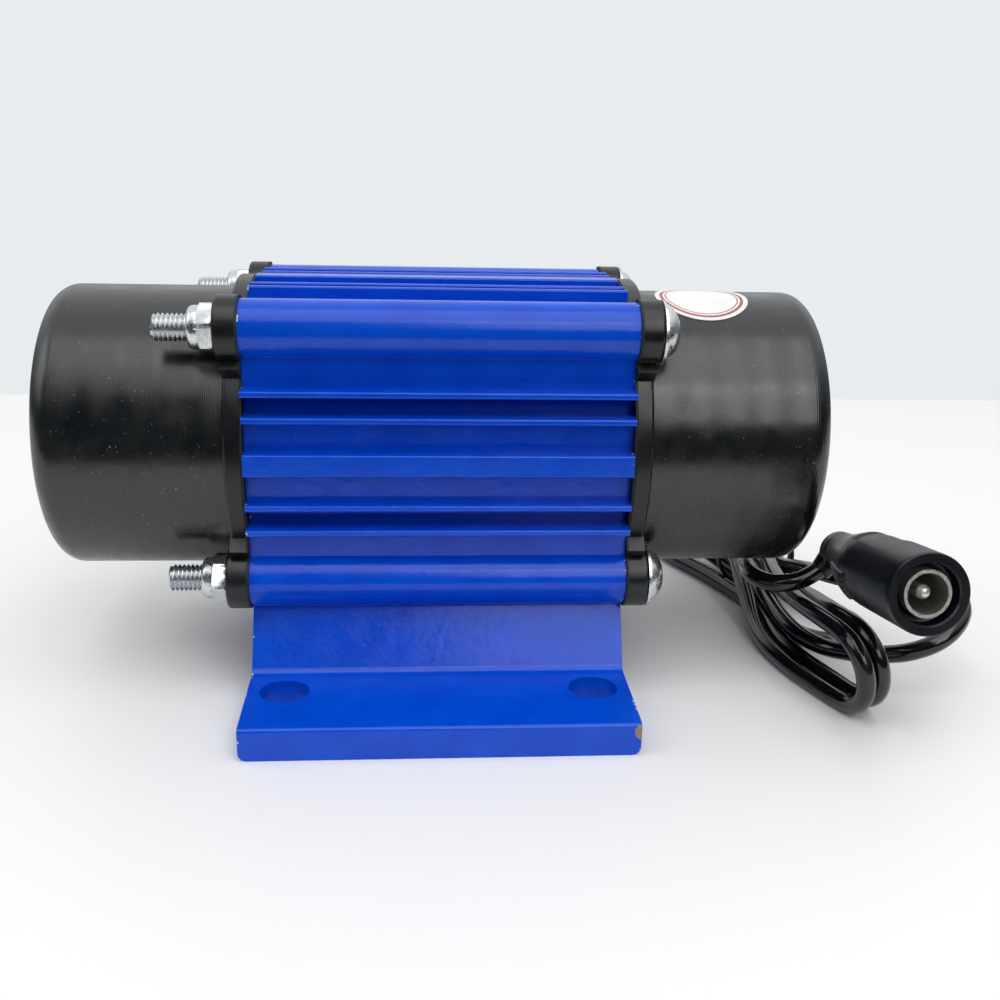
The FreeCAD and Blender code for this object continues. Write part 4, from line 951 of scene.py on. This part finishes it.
@dataclass
class RoundLabel:
    """A plain round paper label stuck on the right cover, near the top."""

    along: float = 51.0
    lean: float = 10.0
    radius: float = 9.0
    cover: float = 27.33
    paper: float = 0.12
    rings: int = 5

    def build(self) -> None:
        """Lay out the disc in rings, wrap it round the cover and give it its thickness."""
        bpy.ops.mesh.primitive_circle_add(vertices=64, radius=self.radius * MM, fill_type="NGON")
        label = bpy.context.object
        label.name = label.data.name = "round_label"
        bpy.ops.object.mode_set(mode="EDIT")
        bpy.ops.mesh.select_all(action="SELECT")
        for _ in range(self.rings):
            bpy.ops.mesh.inset(thickness=self.radius / (self.rings + 1) * MM)
        bpy.ops.object.mode_set(mode="OBJECT")
        for vertex in label.data.vertices:
            vertex.co = self.on_cover(vertex.co.x, vertex.co.y)
        apply_modifier(label, "SOLIDIFY", thickness=self.paper * MM, offset=0.0)
        close_up(label)
        ease_edges(label, 0.0)
        middle = tuple(self.on_cover(0.0, 0.0))
        paper = ("plain paper label", "E9E8E4", "F1F0EC", 0.5, 0.2, 0.004)
        label.data.materials.append(PrintedPaper(*paper, centre=middle).make())
        hand_over(label, "white_nylon")

    def on_cover(self, along: float, back: float) -> Vector:
        """Wrap a point of the flat disc round the cover.

        Args:
            along: distance from the disc's middle along the motor axis, in metres.
            back: distance from it towards the back, in metres.

        Returns:
            The point on the cover, in metres.
        """
        reach = (self.cover + self.paper / 2) * MM
        angle = math.radians(self.lean) - back / reach
        across, up = -math.sin(angle) * reach, math.cos(angle) * reach
        return Vector((self.along * MM + along, across, up + AXIS_HEIGHT))


@dataclass
class CordTie:
    """A strip of soft plastic that holds the hank together, under the right cover."""

    middle: Point = (76.4, 25.0, 8.1)
    half_width: float = 9.2
    half_height: float = 8.0
    strip: float = 3.0
    thickness: float = 0.7

    def build(self) -> None:
        """Make an open band, flatten it round the cords and give it its thickness."""
        bpy.ops.mesh.primitive_cylinder_add(
            vertices=56, radius=MM, depth=self.strip * MM, end_fill_type="NOTHING"
        )
        band = bpy.context.object
        band.name = band.data.name = "cord_tie"
        shape = Matrix.Diagonal((self.half_width, self.half_height, 1.0, 1.0))
        set_down(band, stand_on(Vector(self.middle) * MM, Vector((0, 1, 0))) @ shape)
        apply_modifier(band, "SOLIDIFY", thickness=self.thickness * MM, offset=-1.0)
        close_up(band)
        ease_edges(band, 0.2)
        hand_over(band, "jack_rubber")


# ---------------------------------------------------------------- connector


@dataclass
class Connector:
    """Moulded barrel connector: ring at the front, sunk panel, grip squares, and a bent boot."""

    face: Point = (81.3, -54.5, 31.8)
    tail: Point = (80.6, -14.8, 24.5)
    cord: Point = (76.6, -16.4, 20.5)
    segments: int = 48
    first_ring: float = 1.4
    ring_spacing: float = 0.95
    rings: int = 38
    radius: float = 7.25
    straight: float = 19.0
    taper: float = 18.0
    narrowing: float = 3.0
    mouth: Outline = ((13.0, 4.24), (3.2, 4.24), (3.0, 4.5), (2.8, 5.3), (0.35, 5.45), (0.0, 5.7))
    front: Outline = ((0.0, 7.05), (0.08, 7.18), (0.25, 7.25))
    neck: Outline = ((37.0, 3.7), (37.4, 3.7), (37.7, 4.15), (39.9, 4.05), (40.3, 3.7))
    panel: Span = (12.0, 24.0)
    panel_at: float = 90.0
    panel_half: float = 34.0
    panel_border: float = 0.3
    panel_depth: float = 0.4
    grip: Span = (19.0, 29.5)
    grip_at: Span = (-22.5, 202.5)
    grip_half: float = 22.5
    grip_gap: float = 0.2
    grip_height: float = 0.45
    boot_start: float = 5.0
    boot_bend: float = 0.55
    boot_radii: Sequence[float] = (3.0, 2.9, 2.6, 2.1)

    def placing(self) -> Matrix:
        """Stand local Z on the connector's axis, from its front face to its tail."""
        face, tail = Vector(self.face) * MM, Vector(self.tail) * MM
        return stand_on(face, tail - face)

    def radius_at(self, along: float) -> float:
        """Give the body's outside radius at a place behind its front face, in millimetres."""
        part = min(max(along - self.straight, 0.0) / self.taper, 1.0)
        return self.radius - self.narrowing * (3 * part**2 - 2 * part**3)

    def outline(self) -> Outline:
        """Give the turned outline: out of the opening, over the front and back to the tail."""
        places = [self.first_ring + self.ring_spacing * step for step in range(self.rings)]
        back = [(along, self.radius_at(along)) for along in places]
        return [*self.mouth, *self.front, *back, *self.neck]

    def body(self) -> Piece:
        """Turn the body, sink its panel and raise its grip squares on both sides.

        Returns:
            The body, on its own Z axis.
        """
        body = turn_on_lathe("connector_body_moulded", self.outline(), self.segments)
        select_faces(body, self.patch(self.panel, self.panel_at, self.panel_half))
        bpy.ops.mesh.inset(thickness=self.panel_border * MM, depth=-self.panel_depth * MM)
        bpy.ops.object.mode_set(mode="OBJECT")
        for side in self.grip_at:
            select_faces(body, self.patch(self.grip, side, self.grip_half))
            shape = {"thickness": self.grip_gap * MM, "depth": self.grip_height * MM}
            bpy.ops.mesh.inset(use_individual=True, **shape)
            bpy.ops.object.mode_set(mode="OBJECT")
        return body

    @staticmethod
    def patch(ends: Span, at: float, half: float) -> FaceTest:
        """Make the test for faces of the outside that lie in a patch.

        Args:
            ends: where the patch starts and ends behind the front face, in millimetres.
            at: angle of its middle round the axis, in degrees.
            half: angle from its middle to its side, in degrees.

        Returns:
            The test of a face's middle and normal.
        """

        def beside(middle: Vector) -> bool:
            """Say whether a place lies in the patch's angle."""
            angle = math.degrees(math.atan2(middle.y, middle.x))
            return abs((angle - at + 180) % 360 - 180) < half

        def inside(middle: Vector, normal: Vector) -> bool:
            """Say whether a face of the outside lies in the patch."""
            outward = normal.x * middle.x + normal.y * middle.y > 0 and abs(normal.z) < 0.6
            return outward and beside(middle) and ends[0] * MM < middle.z < ends[1] * MM

        return inside

    def boot(self) -> Piece:
        """Sweep the bent boot from the tail into the cord, thinner towards the cord.

        Returns:
            The boot, in its place.
        """
        face, tail, cord = (Vector(point) * MM for point in (self.face, self.tail, self.cord))
        inside = tail + (face - tail).normalized() * self.boot_start * MM
        places = [inside, tail, tail.lerp(cord, self.boot_bend), cord]
        pick_up(draw_tube("boot", places, self.boot_radii, MM, sides=8, steps=12))
        bpy.ops.object.convert(target="MESH")
        boot = bpy.context.object
        boot.name = boot.data.name = "connector_boot"
        return boot

    def build(self) -> list[str]:
        """Make the body and its boot.

        Returns:
            The names of the new pieces, which are passed to the cord.
        """
        body = self.body()
        set_down(body, self.placing())
        ease_edges(body, 0.0, 30.0)
        hand_over(body, "jack_rubber", "connector_body")
        boot = self.boot()
        ease_edges(boot, 0.15, 50.0)
        hand_over(boot, "jack_rubber")
        return [body.name, boot.name]


# ---------------------------------------------------------------- studio


@dataclass
class Studio:
    """Camera, pale floor, plain pale backdrop and soft light from above."""

    eye: Point = (-0.00484, -0.22671, 0.10611)
    down: float = math.radians(18.415)
    aside: float = math.radians(4.516)
    roll: float = math.radians(1.401)
    lens: float = 41.46
    sensor: float = 36.0
    nearest: float = 0.01
    lit_point: Point = (0.0, 0.0, 0.04)
    backdrop: str = "E8ECEE"
    ground: str = "F2F1EF"
    far_edge: float = 0.22
    near_edge: float = -0.17

    def camera(self) -> None:
        """Place the camera and make it the scene's."""
        data = bpy.data.cameras.new("camera")
        data.lens = self.lens
        data.sensor_width = self.sensor
        data.clip_start = self.nearest
        eye = put_in_scene("camera", data)
        level = math.cos(self.down)
        ahead = Vector(
            (math.sin(self.aside) * level, math.cos(self.aside) * level, -math.sin(self.down))
        )
        right = Vector((math.cos(self.aside), -math.sin(self.aside), 0))
        up = right.cross(ahead)
        tilt = Matrix.Rotation(-self.roll, 3, ahead)
        across, upright = tilt @ right, tilt @ up
        turn = Matrix((across, upright, -ahead)).transposed()
        eye.matrix_world = Matrix.Translation(self.eye) @ turn.to_4x4()
        bpy.context.scene.camera = eye

    def stage(self) -> None:
        """Lay the floor: a broad sheet that ends a little way behind and in front of the motor."""
        bpy.ops.mesh.primitive_plane_add(size=1)
        floor = bpy.context.object
        floor.name = floor.data.name = "floor"
        floor.dimensions = (3.0, self.far_edge - self.near_edge, 0)
        floor.location = (0, (self.far_edge + self.near_edge) / 2, 0)
        bpy.ops.object.transform_apply(location=True, rotation=True, scale=True)
        matt = Finish("studio floor", self.ground, self.ground, 0.5, 40.0, 0.0)
        floor.data.materials.append(matt.make())

    def surround(self) -> None:
        """Light all round: bright above and behind, dim in front, and even for the camera."""
        world = bpy.data.worlds.new("surround")
        world.use_nodes = True
        tree = world.node_tree
        tree.nodes.clear()
        direction = add_node(tree, "TexCoord").outputs["Generated"]
        parts = add_node(tree, "SeparateXYZ", {0: direction}).outputs
        back = work_out(tree, "MULTIPLY_ADD", parts["Y"], 0.45, parts["Z"])
        lift = remap(tree, back, (-0.6, 1.1), (0.0, 1.0))
        stops = {0.0: "34383C", 0.4: "3C4044", 0.55: "8C9196", 0.75: "F2F4F6", 1.0: "FAFBFC"}
        glow = add_node(tree, "ValToRGB", {0: lift}, stops=stops)
        lit = add_node(tree, "Background", {"Color": glow.outputs["Color"], "Strength": 1.0})
        plain = add_node(tree, "Background", {"Color": linear(self.backdrop), "Strength": 1.0})
        seen = add_node(tree, "LightPath")
        views = {0: seen.outputs["Is Camera Ray"], 1: lit.outputs[0], 2: plain.outputs[0]}
        either = add_node(tree, "MixShader", views)
        add_node(tree, "OutputWorld", {"Surface": either.outputs[0]})
        bpy.context.scene.world = world

    def lamps(self) -> None:
        """Hang a broad lamp overhead, a window-like one at the front right, a fill at the left."""
        for name, place, size, power in (
            ("overhead", (0.1, -0.42, 0.93), 0.9, 3.8),
            ("window", (0.32, -0.9, 0.62), 0.6, 2.8),
            ("fill", (-1.0, -0.25, 0.8), 0.8, 2.6),
        ):
            data = bpy.data.lights.new(name, "AREA")
            data.size = size
            data.energy = power
            lamp = put_in_scene(name, data)
            lamp.location = place
            aim = Vector(self.lit_point) - Vector(place)
            lamp.rotation_euler = aim.to_track_quat("-Z", "Y").to_euler()


# ---------------------------------------------------------------- cord


@dataclass
class Cord:
    """The supply cord: out of the gland, through the tied hank and up to the connector."""

    diameter: float = 0.0036
    length: float = 1.035
    exit: Point = (0.0460, 0.0372, 0.0292)

    # the line's control points in millimetres, in the order that they are passed
    route: Sequence[Point] = (
        (46.0, 37.2, 29.2),
        (46.0, 45.8, 25.2),
        (46.5, 55.0, 17.5),
        (49.0, 63.0, 9.0),
        (55.5, 69.0, 3.5),
        (65.0, 71.5, 2.0),
        (75.0, 69.0, 1.9),
        (81.5, 61.0, 1.9),
        (83.0, 50.0, 1.9),
        (82.5, 36.0, 1.9),
        (82.3, 24.0, 1.9),
        (83.5, 13.0, 1.9),
        (88.0, 7.5, 1.9),
        (92.4, 2.0, 1.9),
        (92.4, -4.2, 1.9),
        (88.0, -9.3, 1.9),
        (81.2, -9.3, 1.9),
        (76.6, -4.0, 1.9),
        (76.0, 10.0, 1.9),
        (75.2, 24.0, 1.9),
        (72.0, 33.0, 2.5),
        (66.5, 42.0, 4.5),
        (61.8, 50.0, 5.4),
        (64.0, 58.5, 5.4),
        (70.8, 62.2, 5.4),
        (77.4, 58.8, 5.4),
        (80.0, 50.0, 5.4),
        (79.0, 38.0, 5.4),
        (78.8, 24.0, 5.3),
        (78.6, 12.0, 6.6),
        (78.4, 1.0, 9.6),
        (77.6, -10.0, 12.6),
        (77.2, -20.0, 14.8),
        (77.4, -29.0, 16.4),
        (78.5, -37.5, 17.2),
        (80.8, -41.2, 12.3),
        (81.8, -40.3, 5.9),
        (81.1, -35.4, 1.7),
        (76.9, -24.5, 1.9),
        (74.3, -17.0, 1.9),
        (72.8, -8.0, 1.9),
        (72.9, 3.0, 1.9),
        (72.2, 12.0, 1.9),
        (69.0, 21.0, 1.9),
        (65.0, 31.0, 1.9),
        (61.2, 38.0, 1.9),
        (58.0, 46.0, 1.9),
        (57.8, 56.0, 2.0),
        (62.0, 64.5, 2.5),
        (69.5, 67.5, 3.5),
        (77.5, 65.0, 5.2),
        (83.0, 57.0, 5.8),
        (84.0, 44.0, 5.7),
        (83.0, 33.0, 5.7),
        (82.6, 24.0, 5.8),
        (84.0, 15.0, 9.0),
        (85.0, 6.0, 11.5),
        (89.0, -1.5, 12.5),
        (97.0, -4.0, 14.0),
        (103.3, -9.2, 15.5),
        (105.8, -17.3, 16.3),
        (103.4, -25.8, 15.0),
        (98.0, -30.3, 12.0),
        (92.0, -29.5, 8.8),
        (87.0, -25.0, 6.2),
        (82.5, -22.6, 5.6),
        (78.2, -19.8, 5.4),
        (75.2, -14.5, 5.4),
        (73.8, -7.0, 5.5),
        (74.0, 5.0, 5.4),
        (74.3, 16.0, 5.3),
        (73.6, 24.0, 5.6),
        (71.5, 33.0, 6.4),
        (66.5, 42.0, 8.3),
        (62.3, 52.0, 9.1),
        (65.0, 60.5, 9.1),
        (72.0, 65.0, 9.1),
        (79.0, 62.0, 9.1),
        (82.0, 54.0, 9.1),
        (81.0, 40.0, 9.2),
        (78.5, 28.0, 10.8),
        (75.3, 14.0, 12.2),
        (73.4, 3.0, 13.0),
        (72.7, -8.0, 13.5),
        (72.9, -18.0, 14.4),
        (73.6, -28.0, 15.9),
        (74.8, -39.9, 17.2),
        (77.1, -43.6, 12.3),
        (78.1, -42.7, 5.9),
        (77.4, -37.8, 1.7),
        (73.0, -27.5, 1.9),
        (70.4, -19.0, 1.9),
        (69.0, -9.5, 1.9),
        (69.2, -1.0, 2.6),
        (69.8, 6.0, 4.8),
        (69.8, 13.0, 7.2),
        (70.8, 22.0, 9.2),
        (67.5, 32.0, 10.5),
        (63.5, 42.0, 12.3),
        (61.5, 50.0, 12.9),
        (64.0, 58.2, 12.9),
        (70.5, 62.0, 12.9),
        (77.0, 58.8, 12.9),
        (80.0, 50.0, 12.9),
        (78.0, 38.0, 13.4),
        (75.0, 29.0, 15.2),
        (71.5, 20.0, 16.4),
        (68.8, 10.0, 16.2),
        (66.4, 1.0, 16.0),
        (65.3, -8.0, 16.4),
        (68.4, -16.3, 17.6),
        (75.8, -16.9, 19.8),
        (80.5, -14.8, 24.4),
    )

    def build(self, along: list[str]) -> None:
        """Make the cord as one curve with a round section.

        Args:
            along: names of the pieces made here that sit on the cord; not used.
        """
        places = [Vector(point) * MM for point in self.route]
        whole = [1.0] * len(places)
        cord = draw_tube("supply_cord", places, whole, self.diameter / 2, sides=5, steps=10)
        hand_over(cord, "cord_pvc", "cord_exit", "cord_loop", "cord_lead", "cord_hank")


def main() -> None:
    """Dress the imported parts, make the pieces that the camera sees closely, and set the studio."""
    logging.basicConfig(level=logging.INFO, format="%(name)s: %(message)s")
    bpy.context.scene.view_settings.view_transform = "Standard"
    dress_parts()
    Fasteners().build()
    CableGland().build()
    RoundLabel().build()
    on_cord = Connector().build()
    CordTie().build()
    Cord().build(on_cord)
    studio = Studio()
    studio.camera()
    studio.stage()
    studio.surround()
    studio.lamps()


if __name__ == "__main__":
    main()
